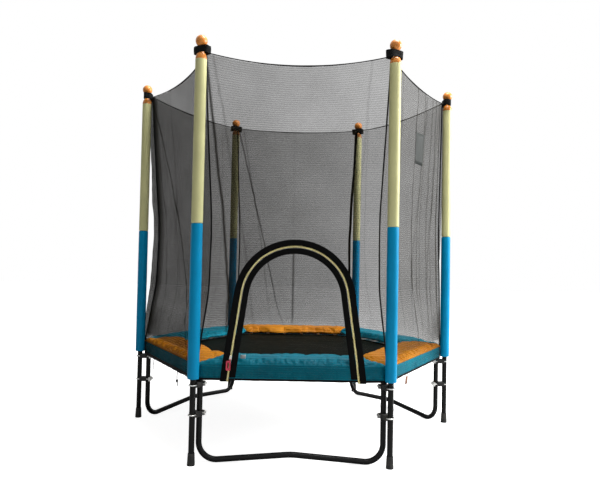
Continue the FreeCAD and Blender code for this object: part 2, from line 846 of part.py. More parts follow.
def springs():
    made = []
    for bay in range(SIDES):
        for n, x in enumerate(spring_places()):
            made.append(feature(f"spring_{bay + 1}_{n + 1}", spring_solid(x), bay_turn(bay)))
    return group("springs", made)


# Edge pad and skirt


def corner_point(radius, side, z, gap=0.0):
    """Point on the corner plane of the front bay, side -1 for left and 1 for right."""
    azimuth = math.radians(270 + side * SIDE_ANGLE / 2)
    return Vector(radius * math.cos(azimuth) - side * gap, radius * math.sin(azimuth), z)


def pad_sections():
    """Upright sections across the pad, thin at the corner seams and full in the middle."""
    seam = float(size.pad_seam_crown)
    full = float(size.pad_crown)
    outer_apothem = RAIL_APOTHEM + SKIRT_OUTSIDE
    inner_apothem = float(size.pad_inner_apothem)
    outer_corner = float(size.leg_circle_radius) + SKIRT_OUTSIDE
    inner_corner = inner_apothem / math.cos(HALF_SIDE)
    gap = float(size.net_end_gap)
    rows = []
    for side in (-1, 1):
        inner = corner_point(inner_corner, side, 0, gap)
        outer = corner_point(outer_corner, side, 0, gap)
        rows.append((inner, outer, seam))
    for share, crown in (PAD_SHOULDER, PAD_MIDDLE):
        outer_half = CORNER_START / PAD_SHOULDER[0]
        for side in (-1, 1):
            inner = Vector(side * share * inner_corner / 2, -inner_apothem, 0)
            outer = Vector(side * share * outer_half, -outer_apothem, 0)
            rows.append((inner, outer, seam + (full - seam) * crown))
    return sorted(rows, key=lambda row: row[1].x)


def pad_segment(bay):
    low = float(size.pad_underside)
    edge = float(size.pad_edge)
    wires = []
    for inner, outer, crown in pad_sections():
        middle = (inner + outer) * 0.5
        a = Vector(inner.x, inner.y, low)
        b = Vector(outer.x, outer.y, low)
        c = Vector(outer.x, outer.y, low + edge)
        top = Vector(middle.x, middle.y, low + crown)
        d = Vector(inner.x, inner.y, low + edge)
        wires.append(Part.Wire(line(a, b, c) + [Part.Arc(c, top, d).toShape()] + line(d, a)))
    shape = Part.makeLoft(wires, True, True)
    return register(feature(f"pad_segment_{bay + 1}", shape, bay_turn(bay)), f"pad_segment_{bay + 1}")


def rounded_end(offset, side, z):
    """Corner end, arc middle and start of the straight side, out from the rail's centre line."""
    radius = CORNER_RADIUS + offset
    half_turn = math.radians(SIDE_ANGLE / 4)
    end = corner_point(float(size.leg_circle_radius) + offset, side, z, float(size.net_end_gap))
    centre = Vector(side * CORNER_START, -RAIL_APOTHEM + CORNER_RADIUS, z)
    middle = centre + Vector(side * radius * math.sin(half_turn), -radius * math.cos(half_turn), 0)
    return end, middle, Vector(side * CORNER_START, -RAIL_APOTHEM - offset, z)


def rounded_row(offset, z):
    """Edges along the front bay that follow the frame: a short arc, the straight side, a short arc."""
    a, b, c = rounded_end(offset, -1, z)
    f, e, d = rounded_end(offset, 1, z)
    return [Part.Arc(a, b, c).toShape()] + line(c, d) + [Part.Arc(d, e, f).toShape()]


def strip(inside, outside, low, high):
    """Band along the front bay between two distances out from the rail's centre line."""
    outer = rounded_row(outside, low)
    inner = rounded_row(inside, low)
    ends = [line(outer[side].Vertexes[side].Point, inner[side].Vertexes[side].Point)[0] for side in (0, -1)]
    wire = Part.Wire(Part.__sortEdges__(outer + inner + ends))
    return Part.Face(wire).extrude(Vector(0, 0, high - low))


def ring_of_strips(label, inside, outside, low, high):
    shape = strip(inside, outside, float(low), float(high))
    pieces = [feature(f"{label}_{bay + 1}", shape, bay_turn(bay)) for bay in range(SIDES)]
    return group(label, pieces)


# Enclosure net


def net_levels(bay):
    """Rows of the net's outer face, each with its corner heights, middle height, radii and apothem."""
    foot_radius = float(size.leg_circle_radius) + NET_OUTSIDE
    left = foot_radius - NET_PINCHES[bay]
    right = foot_radius - NET_PINCHES[(bay + 1) % SIDES]
    foot_apothem = RAIL_APOTHEM + NET_OUTSIDE
    top_radius = float(size.net_top_radius)
    chest = float(size.chest_share)
    bow = float(size.waist_bow)
    flare = float(size.waist_flare)

    def chord(a, b):
        return (a + b) / 2 * math.cos(HALF_SIDE)

    def chest_radius(waist):
        return waist + (top_radius - waist) * chest

    low = float(size.net_low)
    shoulder = float(size.net_shoulder)
    waist_low = float(size.net_waist_low)
    waist_high = float(size.net_waist_high)
    chest_z = float(size.net_chest)
    top = float(size.net_top)
    chest_left = chest_radius(left)
    chest_right = chest_radius(right)
    chest_bow = (bow + NET_BOWS[bay]) / 2
    return [
        (low, low, foot_radius, foot_radius, foot_apothem),
        (shoulder, shoulder, foot_radius, foot_radius, foot_apothem),
        (waist_low, waist_low, left + flare, right + flare, chord(left, right) + flare - bow),
        (waist_high, waist_high, left, right, chord(left, right) - bow),
        (chest_z, chest_z, chest_left, chest_right, chord(chest_left, chest_right) - chest_bow),
        (top, top - NET_SAGS[bay], top_radius, top_radius, chord(top_radius, top_radius) - NET_BOWS[bay]),
    ]


def net_row(level, back):
    """One row of the net's face: it follows the frame at its foot, and above that it is a long arc
    with a short straight length at each corner."""
    corner_z, middle_z, left, right, apothem = level
    if apothem > RAIL_APOTHEM + SKIRT_OUTSIDE:
        return rounded_row(NET_OUTSIDE - back, corner_z)
    gap = float(size.net_end_gap)
    start = corner_point(left - back, -1, corner_z, gap)
    end = corner_point(right - back, 1, corner_z, gap)
    middle = Vector(0, -apothem + back, middle_z)
    bend_in = blend_point(start, middle)
    bend_out = blend_point(end, middle)
    return line(start, bend_in) + [Part.Arc(bend_in, middle, bend_out).toShape()] + line(bend_out, end)


def blend_point(corner, middle):
    """Where the short straight length meets the arc, on the curve from the corner to the middle."""
    share = CORNER_START * 2 / (float(size.leg_circle_radius) + NET_OUTSIDE)
    drop = share ** 2
    step = corner - middle
    return Vector(middle.x + step.x * share, middle.y + step.y * drop, middle.z + step.z * drop)


def net_sheet(bay, inset, thickness):
    """Thin closed shell of one bay, set in from the net's outer face."""
    outer = [net_row(level, inset) for level in net_levels(bay)]
    inner = [net_row(level, inset + thickness) for level in net_levels(bay)]
    faces = []
    for rows in (outer, inner):
        for low, high in zip(rows, rows[1:]):
            faces += [Part.makeRuledSurface(a, b) for a, b in zip(low, high)]
    for n in (0, -1):
        faces += [Part.makeRuledSurface(a, b) for a, b in zip(outer[n], inner[n])]
    for side in (0, 1):
        ends = []
        for front, back in zip(outer, inner):
            a = front[-side].Vertexes[side].Point
            b = back[-side].Vertexes[side].Point
            ends.append(Part.LineSegment(a, b).toShape())
        faces += [Part.makeRuledSurface(a, b) for a, b in zip(ends, ends[1:])]
    shell = Part.Compound(faces)
    shell.sewShape()
    solid = Part.makeSolid(shell.Shells[0])
    return solid if solid.Volume > 0 else solid.reversed()


def arch_face(grow, low):
    """Upright face inside the door's arch, grown outwards from the zip's centre line."""
    centre = float(size.arch_centre)
    radius = float(size.arch_radius) + grow
    hub = float(size.arch_crown) - float(size.arch_radius)
    lean = math.radians(float(size.arch_lean))
    side = radius * math.cos(lean)
    shoulder = hub + radius * math.sin(lean)
    foot = side + (shoulder - low) * math.tan(lean)
    y = -RAIL_VERTEX - 100
    top = hub + radius
    wire = Part.Wire(
        line((centre - foot, y, low), (centre - side, y, shoulder))
        + [arc((centre - side, y, shoulder), (centre, y, top), (centre + side, y, shoulder))]
        + line((centre + side, y, shoulder), (centre + foot, y, low), (centre - foot, y, low))
    )
    return Part.Face(wire)


def arch_block(grow, low):
    """Straight block behind the arch, deep enough to pass through the front net only."""
    return arch_face(grow, low).extrude(Vector(0, 400, 0))


def arch_band(outer, inner, low, shell):
    """Part of a shell between two arches."""
    return shell.common(arch_block(outer, low).cut(arch_block(inner, low - 5)))


def zip_line_x(z):
    """Where the left leg of the zip stands at a height below the arch's shoulder."""
    lean = math.radians(float(size.arch_lean))
    radius = float(size.arch_radius)
    shoulder = float(size.arch_crown) - radius + radius * math.sin(lean)
    return float(size.arch_centre) - radius * math.cos(lean) - (shoulder - z) * math.tan(lean)


def below_net():
    """Height below the net's foot, for tools that cut right through it."""
    return float(size.net_low) - 10.0


def net_panels():
    """Net of each bay, the front one with the door's opening."""
    opening = float(size.band_width) / 2 + float(size.seam_gap)
    for bay in range(SIDES):
        shape = net_sheet(bay, 0.0, float(size.net_thickness))
        if bay == 0:
            shape = shape.cut(arch_block(opening, below_net()))
        register(feature(f"net_panel_{bay + 1}", shape, bay_turn(bay)), f"net_panel_{bay + 1}")


def proud(thickness):
    """Inset, below zero, of a piece that is thicker than the net and stands out of it."""
    return float(size.net_thickness) - float(thickness)


def door_parts():
    """Band and chain of the zip on the net's side, and the door they hold shut."""
    half_band = float(size.band_width) / 2
    half_chain = float(size.chain_width) / 2
    seam = float(size.seam_gap)
    door_low = float(size.door_low)
    band_shell = net_sheet(0, proud(size.band_thickness), float(size.band_thickness))
    chain_shell = net_sheet(0, proud(size.chain_thickness), float(size.chain_thickness))
    net_shell = net_sheet(0, 0.0, float(size.net_thickness))
    inner_edge = -half_chain - float(size.door_gap)
    band = arch_band(half_band, half_chain + seam, below_net(), band_shell)
    register(feature("zip_band", band), "zip_band")
    chain = arch_band(half_chain, -half_chain, below_net(), chain_shell)
    register(feature("zip_chain", chain), "zip_chain")
    door_band = arch_band(inner_edge, -half_band, door_low, band_shell)
    register(feature("door_band", door_band), "door_band")
    door_net = net_shell.common(arch_block(-half_band - seam, door_low))
    register(feature("door_net", door_net), "door_net")


def shell_y(x, z):
    """Y of the front net's outer face at a place in the front view."""
    shell = net_sheet(0, 0.0, float(size.net_thickness))
    ray = Part.LineSegment(Vector(x, -RAIL_VERTEX - 100, z), Vector(x, 0, z)).toShape()
    cuts = shell.common(ray)
    return min(vertex.Y for vertex in cuts.Vertexes)


def slider_body():
    """Slider's plate, sloping edges rounded, with a cross lug on two arms for the pull, at the origin."""
    long = float(size.slider_length)
    wide = float(size.slider_width)
    thick = float(size.slider_thickness)
    arm = float(size.lug_radius)
    plate = Part.makeBox(wide, thick, long, Vector(-wide / 2, -thick, -long / 2))
    plate = plate.makeFillet(float(size.slider_rounding), plate.Edges)
    lug_at = slider_lug()
    span = wide * 0.6
    lug = Part.makeCylinder(arm, span, lug_at - Vector(span / 2, 0, 0), Vector(1, 0, 0))
    arms = []
    for side in (-1, 1):
        start = lug_at + Vector(side * span / 2 - arm / 2, -arm, -arm)
        arms.append(Part.makeBox(arm, float(size.lug_reach) + 2 * arm, 2 * arm, start))
    return plate.fuse([lug] + arms)


def slider_lug():
    """Middle of the lug, from the middle of the slider's back."""
    arm = float(size.lug_radius)
    out = float(size.slider_thickness) + float(size.lug_reach)
    return Vector(0, -out, -float(size.slider_length) / 2 + 2 * arm)


def pull_body():
    """Pull that hangs from an eye at the origin: a rounded loop of strap with a window."""
    wide = float(size.pull_width)
    long = float(size.pull_length)
    thick = float(size.pull_thickness)
    hole_radius = float(size.lug_radius) + float(size.pull_eye_gap)
    eye_radius = hole_radius + float(size.pull_eye_wall)
    neck = float(size.pull_neck)
    shift = -float(size.pull_offset)
    window_wide = wide * 0.34
    window_top = -long * 0.28
    window_low = -long * 0.78
    eye = Part.makeCylinder(eye_radius, neck, Vector(-neck / 2, 0, 0), Vector(1, 0, 0))
    hole = Part.makeCylinder(hole_radius, neck * 2, Vector(-neck, 0, 0), Vector(1, 0, 0))
    loop_top = -2 * eye_radius
    stem_low = loop_top - 0.5
    stem = Part.makeBox(neck, thick, -stem_low - hole_radius, Vector(-neck / 2, -thick / 2, stem_low))
    loop = Part.makeBox(wide, thick, loop_top + long, Vector(shift - wide / 2, -thick / 2, -long))
    upright = [edge for edge in loop.Edges if abs(edge.Length - thick) < 1e-6]
    loop = loop.makeFillet(float(size.pull_rounding), upright)
    corner = Vector(shift - window_wide / 2, -thick, window_low)
    window = Part.makeBox(window_wide, thick * 2, window_top - window_low, corner)
    return eye.fuse([stem, loop]).cut(window).cut(hole)


def slider_parts():
    """Slider on the zip's left leg and the pull that hangs from it."""
    z = float(size.slider_height)
    x = zip_line_x(z)
    clear = float(size.slider_clearance) - proud(size.chain_thickness)
    run = 200.0
    low_y = shell_y(x, z) - clear
    high_y = shell_y(zip_line_x(z + run), z + run) - clear
    slope = math.degrees(math.atan2(high_y - low_y, run))
    lean = float(size.arch_lean)
    turn = Rotation(Vector(1, 0, 0), -slope).multiply(Rotation(Vector(0, 1, 0), lean))
    at = Vector(x, low_y, z)
    register(feature("zip_slider", slider_body(), Placement(at, turn)), "zip_slider")
    pivot = at + turn.multVec(slider_lug())
    pull_turn = Rotation(Vector(1, 0, 0), -slope)
    register(feature("zip_pull", pull_body(), Placement(pivot, pull_turn)), "zip_pull")
    travel = Vector(zip_line_x(z + run) - x, high_y - low_y, run)
    print("slider", at, "travel", travel.normalize(), "slope", round(slope, 3), "pull pivot", pivot)


def wrapped_plan(name, back, across, radius, lean, low, high):
    """Plan that wraps a circle and widens towards a flat side at the back, as an upright solid."""
    touch = (radius * math.cos(lean), radius * math.sin(lean))
    right = [(-back, -across), (touch[0], -touch[1])]
    left = [touch, (-back, across)]
    sides = plan_prism(f"{name}_sides", right + left, low, high)
    return fuse(name, [sides, cylinder(f"{name}_round", radius, low, high)])


def net_loops():
    """Webbing strap at each corner of the net, round the outside of the cap's neck and flat behind it."""
    loops = []
    low = size.loop_low
    high = low + size.loop_height
    wall = float(size.loop_wall)
    inner = float(size.neck_diameter) / 2 + float(size.net_end_gap)
    outer = inner + wall
    back = float(size.pole_circle_radius) - float(size.net_top_radius) - float(size.seam_gap)
    spread = float(size.loop_spread)
    lean = math.atan2(spread, -back) - math.acos(outer / math.hypot(spread, back))
    room = (inner + (back - wall) * math.cos(lean)) / math.sin(lean)
    for corner in range(SIDES):
        tag = f"net_loop_{corner + 1}"
        strap = wrapped_plan(f"{tag}_outside", back, spread, outer, lean, low, high)
        hollow = wrapped_plan(f"{tag}_inside", back - wall, room, inner, lean, low - 1.0, high + 1.0)
        loops.append(polar(cut(tag, strap, hollow), size.pole_circle_radius, POLE_AZIMUTHS[corner]))
    return group("net_loops", loops)


def net_top_piping():
    """Cord sewn along the top edge of each bay."""
    pipes = []
    radius = float(size.piping_diameter) / 2
    for bay in range(SIDES):
        corner_z, middle_z, left, right, apothem = net_levels(bay)[-1]
        lift = radius + float(size.net_end_gap)
        back = float(size.net_thickness) / 2
        gap = float(size.piping_end_gap)
        a = corner_point(left - back - radius, -1, corner_z + lift, gap)
        d = corner_point(right - back - radius, 1, corner_z + lift, gap)
        m = Vector(0, -apothem + back, middle_z + lift)
        curve = Part.Arc(a, m, d)
        start = curve.tangent(curve.FirstParameter)[0]
        solid = pipe([curve.toShape()], radius, tuple(a), tuple(start))
        pipes.append(feature(f"piping_{bay + 1}", solid, bay_turn(bay)))
    return group("net_top_piping", pipes)


# Loose ends of the lacing: routes in the front bay's frame, from the hem's lower edge, along, out and down
TIE_BAY = 5
TIE_LEFT = (-180.0, [(0.0, 0.0, 0.0), (1.5, 1.0, -13.0), (-2.5, 3.0, -29.0), (0.5, 2.0, -45.0)])
TIE_RIGHT = (148.0, [(0.0, 0.0, 0.0), (-1.5, 1.5, -14.0), (1.0, 1.0, -31.0)])


def tie_points(route):
    along, steps = route
    out = RAIL_APOTHEM + (NET_INSIDE + NET_OUTSIDE) / 2
    return [Vector(along + x, -out - y, float(size.hem_low) + z) for x, y, z in steps]


def cord_tube(points, radius):
    """Tube of straight runs joined by tangent arcs, each arc as large as its two runs allow."""
    edges, radii = rounded_path(points, cord_reach)
    first = points[1] - points[0]
    solid = pipe(edges, radius, tuple(points[0]), tuple(first))
    length = sum(edge.Length for edge in edges)
    share = solid.Volume / (math.pi * radius ** 2 * length)
    print("cord length", round(length, 1), "radii", radii, "volume share", round(share, 4))
    return solid


def tie_ends():
    """Two ends of lacing cord that hang below the hem, one of them knotted."""
    radius = float(size.lace_diameter) / 2
    turn = bay_turn(TIE_BAY)
    register(feature("tie_end_1", cord_tube(tie_points(TIE_LEFT), radius), turn), "tie_end_1")
    right = tie_points(TIE_RIGHT)
    register(feature("tie_end_2", cord_tube(right, radius), turn), "tie_end_2")
    high = float(size.knot_height)
    centre = right[-1] + Vector(0, 0, -high / 2)
    knot = Part.makeSphere(0.5)
    shape = FreeCAD.Matrix()
    shape.scale(float(size.knot_width), float(size.knot_width), high)
    knot = knot.transformGeometry(shape)
    knot.translate(centre)
    tail_length = high / 2 + float(size.knot_tail)
    tail = Part.makeCylinder(radius, tail_length, centre, Vector(0.12, 0, -1))
    register(feature("tie_knot", knot.fuse(tail), turn), "tie_knot")


def has_solid(thing):
    return not thing.Shape.isNull() and thing.Shape.isValid() and len(thing.Shape.Solids) > 0


def export_parts():
    """Checks every object and writes one file for each sub-part."""
    doc.recompute()
    for thing in doc.Objects:
        if "Invalid" in thing.State or "Error" in thing.State:
            raise RuntimeError(f"{thing.Name} failed: {thing.State}")
    os.makedirs("parts", exist_ok=True)
    for thing in parts:
        pieces = thing.Links if thing.TypeId == "Part::Compound" else [thing]
        if not all(has_solid(piece) for piece in pieces):
            raise RuntimeError(f"{thing.Label} has a piece with no valid solid")
        thing.Shape.exportStep(f"parts/{thing.Label}.step")
        print(thing.Label, len(thing.Shape.Solids), round(thing.Shape.Volume / 1000, 2), "cm3")
    print(len(parts), "sub-parts")


for corner in range(SIDES):
    lower_pole(corner)
upper_poles()
foam_sleeves("lower_foam", size.foam_low, size.pole_joint_height - size.foam_end_gap)
foam_sleeves("upper_foam", size.pole_joint_height, size.foam_top - size.foam_end_gap)
pole_caps()
foot_caps()
clamps()
u_leg("u_leg_front", 0)
u_leg("u_leg_right", 2)
u_leg("u_leg_left", 4)
frame_rails()
corner_sockets()
jump_mat()
mat_border()
mat_rings()
springs()
for bay in range(SIDES):
    pad_segment(bay)
skirt_high = size.pad_underside - size.skirt_top_gap
hem_high = size.net_low - size.seam_gap
ring_of_strips("pad_skirt", SKIRT_INSIDE, SKIRT_OUTSIDE, size.skirt_low, skirt_high)
ring_of_strips("net_hem", NET_INSIDE, NET_OUTSIDE, size.hem_low, hem_high)
net_panels()
door_parts()
slider_parts()
net_loops()
net_top_piping()
tie_ends()
export_parts()
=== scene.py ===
import math

import bmesh
import bpy
import numpy as np
from mathutils import Matrix, Vector, noise


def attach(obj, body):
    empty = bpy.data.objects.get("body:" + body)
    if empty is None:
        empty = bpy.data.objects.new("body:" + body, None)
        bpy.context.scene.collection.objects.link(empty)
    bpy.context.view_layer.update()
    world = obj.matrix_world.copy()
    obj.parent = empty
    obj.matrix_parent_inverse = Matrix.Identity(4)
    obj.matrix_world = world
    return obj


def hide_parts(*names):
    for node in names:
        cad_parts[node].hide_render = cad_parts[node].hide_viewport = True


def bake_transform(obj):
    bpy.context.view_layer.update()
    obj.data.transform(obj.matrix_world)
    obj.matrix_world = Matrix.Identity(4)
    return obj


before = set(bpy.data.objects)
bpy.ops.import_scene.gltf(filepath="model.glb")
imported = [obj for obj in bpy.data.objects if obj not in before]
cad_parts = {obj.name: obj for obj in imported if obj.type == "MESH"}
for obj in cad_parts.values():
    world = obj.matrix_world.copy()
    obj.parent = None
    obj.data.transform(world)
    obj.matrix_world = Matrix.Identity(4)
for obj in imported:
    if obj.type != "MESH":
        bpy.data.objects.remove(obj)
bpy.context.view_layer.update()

# Sizes of the trampoline, in metres
POLE_CIRCLE = 0.732
POLES = [240, 300, 0, 60, 120, 180]
CORNER_NAMES = ["front_left", "front_right", "right", "back_right", "back_left", "left"]
BAY_NAMES = ["front", "right_front", "right_back", "back", "left_back", "left_front"]
FOAM_RADIUS = 0.0215
FOAM_BORE = 0.0113
FOAM_LOW, FOAM_JOINT, FOAM_TOP = 0.3152, 0.8909, 1.5088
DOME_TOP = 1.532
NECK_RADIUS = 0.0105
BALL_RADIUS = 0.0225
BALL_HEIGHT = 1.5775
RAIL_HEIGHT = 0.345
RAIL_OUT = 0.60379
RAIL_BEND = 0.040
RAIL_HALF_RUN = 0.3255
NET_LOW, NET_HIGH = 0.317, 1.541
NET_OUT = 0.0176
NET_MIDDLE = 0.00075
NET_PITCH = 0.0026
NET_LINES = 0.0085
NET_FOOT = 0.7086
NET_TOP = 0.7075
NET_WAISTS = [0.6446, 0.6496, 0.6966, 0.6346, 0.6396, 0.6576]
NET_SAGS = [0.035, 0.015, 0.025, 0.020, 0.020, 0.015]
NET_BOWS = [0.028, 0.012, 0.002, 0.008, 0.002, 0.030]
ROW_HEIGHTS = np.array([NET_LOW, 0.384, 0.640, 0.900, 1.200, NET_HIGH])
ROW_SOFTNESS = [0.0, 0.008, 0.040, 0.100, 0.120, 0.0]
HEM_LOW, HEM_HIGH, HEM_DEPTH = 0.3025, 0.3168, 0.0143
STRAIGHT_SHARE = RAIL_HALF_RUN * 2 / NET_FOOT
COS30, TAN30 = math.cos(math.radians(30)), math.tan(math.radians(30))
ARCH_CENTRE, ARCH_CROWN, ARCH_RADIUS, ARCH_LEAN = 0.004, 0.813, 0.207, math.radians(7)
ZIP_FOOT, DOOR_FOOT = 0.3045, 0.3195
BAND_THICKNESS, BAND_CROWN, BAND_COLUMNS = 0.0020, 0.0008, 9
PAD_INNER, PAD_OUTER = 0.450, 0.6195
PAD_LOW, PAD_SEAM, PAD_CROWN, PAD_LIMIT = 0.358, 0.371, 0.379, 0.392
MAT_OUT = 0.468
BORDER_OUT = 0.482
CORNER_CUT = 0.021
SPRING_PITCH = 0.09592
SPRING_WIRE, COIL_RADIUS, SPRING_TURNS = 0.00125, 0.00665, 25
CORD_RADIUS = 0.0016
TAPE_THICKNESS = 0.0009


# Camera, as the photograph was taken: its place, how it is turned in degrees, and its lens

CAMERA_PLACE = (0, -2.754, 0.749)
CAMERA_TURNS = (-0.52, 1.8, 1.13)
FOCAL_LENGTH_PIXELS, PICTURE_PIXELS = 569.2, 600
SENSOR_WIDTH = 36


def place_camera():
    yaw, pitch, roll = (math.radians(angle) for angle in CAMERA_TURNS)
    look = Vector((-math.sin(yaw) * math.cos(pitch), math.cos(yaw) * math.cos(pitch), math.sin(pitch)))
    level = Vector((math.cos(yaw), math.sin(yaw), 0))
    over = level.cross(look)
    right = level * math.cos(roll) + over * math.sin(roll)
    up = over * math.cos(roll) - level * math.sin(roll)
    data = bpy.data.cameras.new("camera")
    data.sensor_width = SENSOR_WIDTH
    data.lens = SENSOR_WIDTH * FOCAL_LENGTH_PIXELS / PICTURE_PIXELS
    camera = bpy.data.objects.new("camera", data)
    bpy.context.scene.collection.objects.link(camera)
    turn = Matrix((right, up, -look)).transposed().to_4x4()
    camera.matrix_world = Matrix.Translation(CAMERA_PLACE) @ turn
    bpy.context.scene.camera = camera


# Ways of working


def deselect():
    if bpy.context.object and bpy.context.object.mode != "OBJECT":
        bpy.ops.object.mode_set(mode="OBJECT")
    bpy.ops.object.select_all(action="DESELECT")


def activate(piece):
    deselect()
    piece.select_set(True)
    bpy.context.view_layer.objects.active = piece


def open_mesh(piece, kind="FACE"):
    """Goes into edit mode with nothing selected."""
    activate(piece)
    bpy.ops.object.mode_set(mode="EDIT")
    bpy.ops.mesh.select_mode(type=kind)
    bpy.ops.mesh.select_all(action="DESELECT")


def open_whole(piece):
    """Goes into edit mode with everything selected."""
    activate(piece)
    bpy.ops.object.mode_set(mode="EDIT")
    bpy.ops.mesh.select_all(action="SELECT")


def choose(piece, kind, wanted):
    """Selects the faces, edges or vertices that are wanted, and nothing else."""
    bpy.ops.mesh.select_all(action="DESELECT")
    mesh = bmesh.from_edit_mesh(piece.data)
    for thing in getattr(mesh, kind):
        if wanted(thing):
            thing.select_set(True)
    mesh.select_flush_mode()
    bmesh.update_edit_mesh(piece.data)


def close_mesh():
    bpy.ops.object.mode_set(mode="OBJECT")


def started(name):
    """The primitive that was just added, under its own name."""
    piece = bpy.context.object
    piece.name = name
    piece.data.name = name
    return piece


def settle(piece):
    """Puts a piece's place into its mesh."""
    activate(piece)
    bpy.ops.object.transform_apply(location=True, rotation=True, scale=True)


def modify(piece, kind, **settings):
    """Adds a modifier and applies it."""
    activate(piece)
    modifier = piece.modifiers.new(kind.lower(), kind)
    for name, value in settings.items():
        setattr(modifier, name, value)
    bpy.ops.object.modifier_apply(modifier=modifier.name)


def twin(piece, name, turn=0.0, move=(0, 0, 0)):
    """Copy with its own mesh, moved and then turned about the trampoline's centre."""
    made = piece.copy()
    made.data = piece.data.copy()
    made.name = name
    made.data.name = name
    bpy.context.scene.collection.objects.link(made)
    made.data.transform(Matrix.Rotation(math.radians(turn), 4, "Z") @ Matrix.Translation(move))
    return made


def soften(piece, angle=35):
    """Shades a piece smooth, apart from edges sharper than the angle."""
    activate(piece)
    bpy.ops.object.shade_smooth_by_angle(angle=math.radians(angle))


def dress(piece, material, body="frame", replaces=()):
    """Gives a piece its finish, the body it rides on and the CAD nodes it stands for."""
    piece.data.materials.clear()
    piece.data.materials.append(material)
    if body:
        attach(piece, body)
    if replaces:
        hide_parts(*replaces)
    return piece


def polar(radius, azimuth, height):
    """Point round the trampoline's centre, its azimuth in degrees."""
    angle = math.radians(azimuth)
    return Vector((radius * math.cos(angle), radius * math.sin(angle), height))


def turned(points, azimuth):
    """Points turned about the trampoline's centre."""
    angle = math.radians(azimuth)
    x, y, z = points[..., 0], points[..., 1], points[..., 2]
    turned_x = x * math.cos(angle) - y * math.sin(angle)
    turned_y = x * math.sin(angle) + y * math.cos(angle)
    return np.stack([turned_x, turned_y, z], -1)


def ripple(points, size, seed=0.0):
    """Smooth noise from -1 to 1 at each point."""
    flat = np.asarray(points, float).reshape(-1, 3) / size + seed
    values = np.array([noise.noise(Vector(p)) for p in flat])
    return values.reshape(np.asarray(points).shape[:-1])


def hump(distance, width):
    """Smooth bump: 1 at no distance, near 0 at twice the width."""
    return np.exp(-((distance / width) ** 2))


def ramp(value, start, length):
    """Goes from 0 to 1 as the value passes from a start over a length."""
    return np.clip((value - start) / length, 0, 1)


def quarter_wave(value, length):
    """Rises from 0 to 1 over a length, steep at first."""
    return np.sin(np.clip(value / length, 0, 1) * math.pi / 2)


def cloth_grid(name, points, keep=None, round_it=False, cover=None):
    """Sheet of cloth through rows of points, its UV map in metres of cloth."""
    rows, columns = points.shape[:2]
    mesh = bpy.data.meshes.new(name)
    number = np.arange(rows * columns).reshape(rows, columns)
    across = np.r_[np.arange(columns), 0] if round_it else np.arange(columns)
    a = number[:-1][:, across[:-1]]
    b = number[:-1][:, across[1:]]
    c = number[1:][:, across[1:]]
    d = number[1:][:, across[:-1]]
    faces = np.stack([a, b, c, d], -1).reshape(-1, 4)
    columns_at = np.tile(np.arange(len(across) - 1), rows - 1)
    rows_at = np.repeat(np.arange(rows - 1), len(across) - 1)
    if keep is not None:
        kept = keep[:-1, :-1] & keep[1:, :-1] & keep[:-1, 1:] & keep[1:, 1:]
        mask = kept.reshape(-1)
        faces, columns_at, rows_at = faces[mask], columns_at[mask], rows_at[mask]
    mesh.from_pydata(points.reshape(-1, 3).tolist(), [], faces.tolist())
    looped = np.concatenate([points, points[:, :1]], 1) if round_it else points
    along = np.linalg.norm(np.diff(looped, axis=1), axis=2)
    u = np.concatenate([[0], np.cumsum(along.mean(0))])
    up = np.linalg.norm(np.diff(points, axis=0), axis=2)
    v = np.concatenate([[0], np.cumsum(up.mean(1))])
    corners = [(0, 0), (0, 1), (1, 1), (1, 0)]
    uv = np.stack([np.stack([u[columns_at + dc], v[rows_at + dr]], -1) for dr, dc in corners], 1)
    layer = mesh.uv_layers.new(name="cloth")
    layer.data.foreach_set("uv", uv.reshape(-1).astype(np.float32))
    if cover is not None:
        attribute = mesh.attributes.new("cover", "FLOAT", "POINT")
        attribute.data.foreach_set("value", cover.reshape(-1).astype(np.float32))
    piece = bpy.data.objects.new(name, mesh)
    bpy.context.scene.collection.objects.link(piece)
    tidy_loose(piece)
    mesh.polygons.foreach_set("use_smooth", [True] * len(mesh.polygons))
    return piece


def tidy_loose(piece):
    """Removes points that no face uses."""
    open_whole(piece)
    bpy.ops.mesh.delete_loose(use_verts=True, use_edges=True, use_faces=False)
    close_mesh()


def tube_along(name, points, radius, sides=3, taper=None):
    """Round piece on a smooth line through the run of points, as a curve."""
    curve = bpy.data.curves.new(name, "CURVE")
    curve.dimensions = "3D"
    curve.bevel_depth = radius
    curve.bevel_resolution = sides
    curve.use_fill_caps = True
    spline = curve.splines.new("NURBS")
    spline.points.add(len(points) - 1)
    for n, (spot, place) in enumerate(zip(spline.points, points)):
        spot.co = (*place, 1)
        if taper is not None:
            spot.radius = taper[n]
    spline.order_u = 3
    spline.use_endpoint_u = True
    curve.resolution_u = 3
    piece = bpy.data.objects.new(name, curve)
    bpy.context.scene.collection.objects.link(piece)
    return piece


def as_mesh(piece):
    """Turns a curve into a mesh."""
    activate(piece)
    bpy.ops.object.convert(target="MESH")
    return bpy.context.object


# Finishes


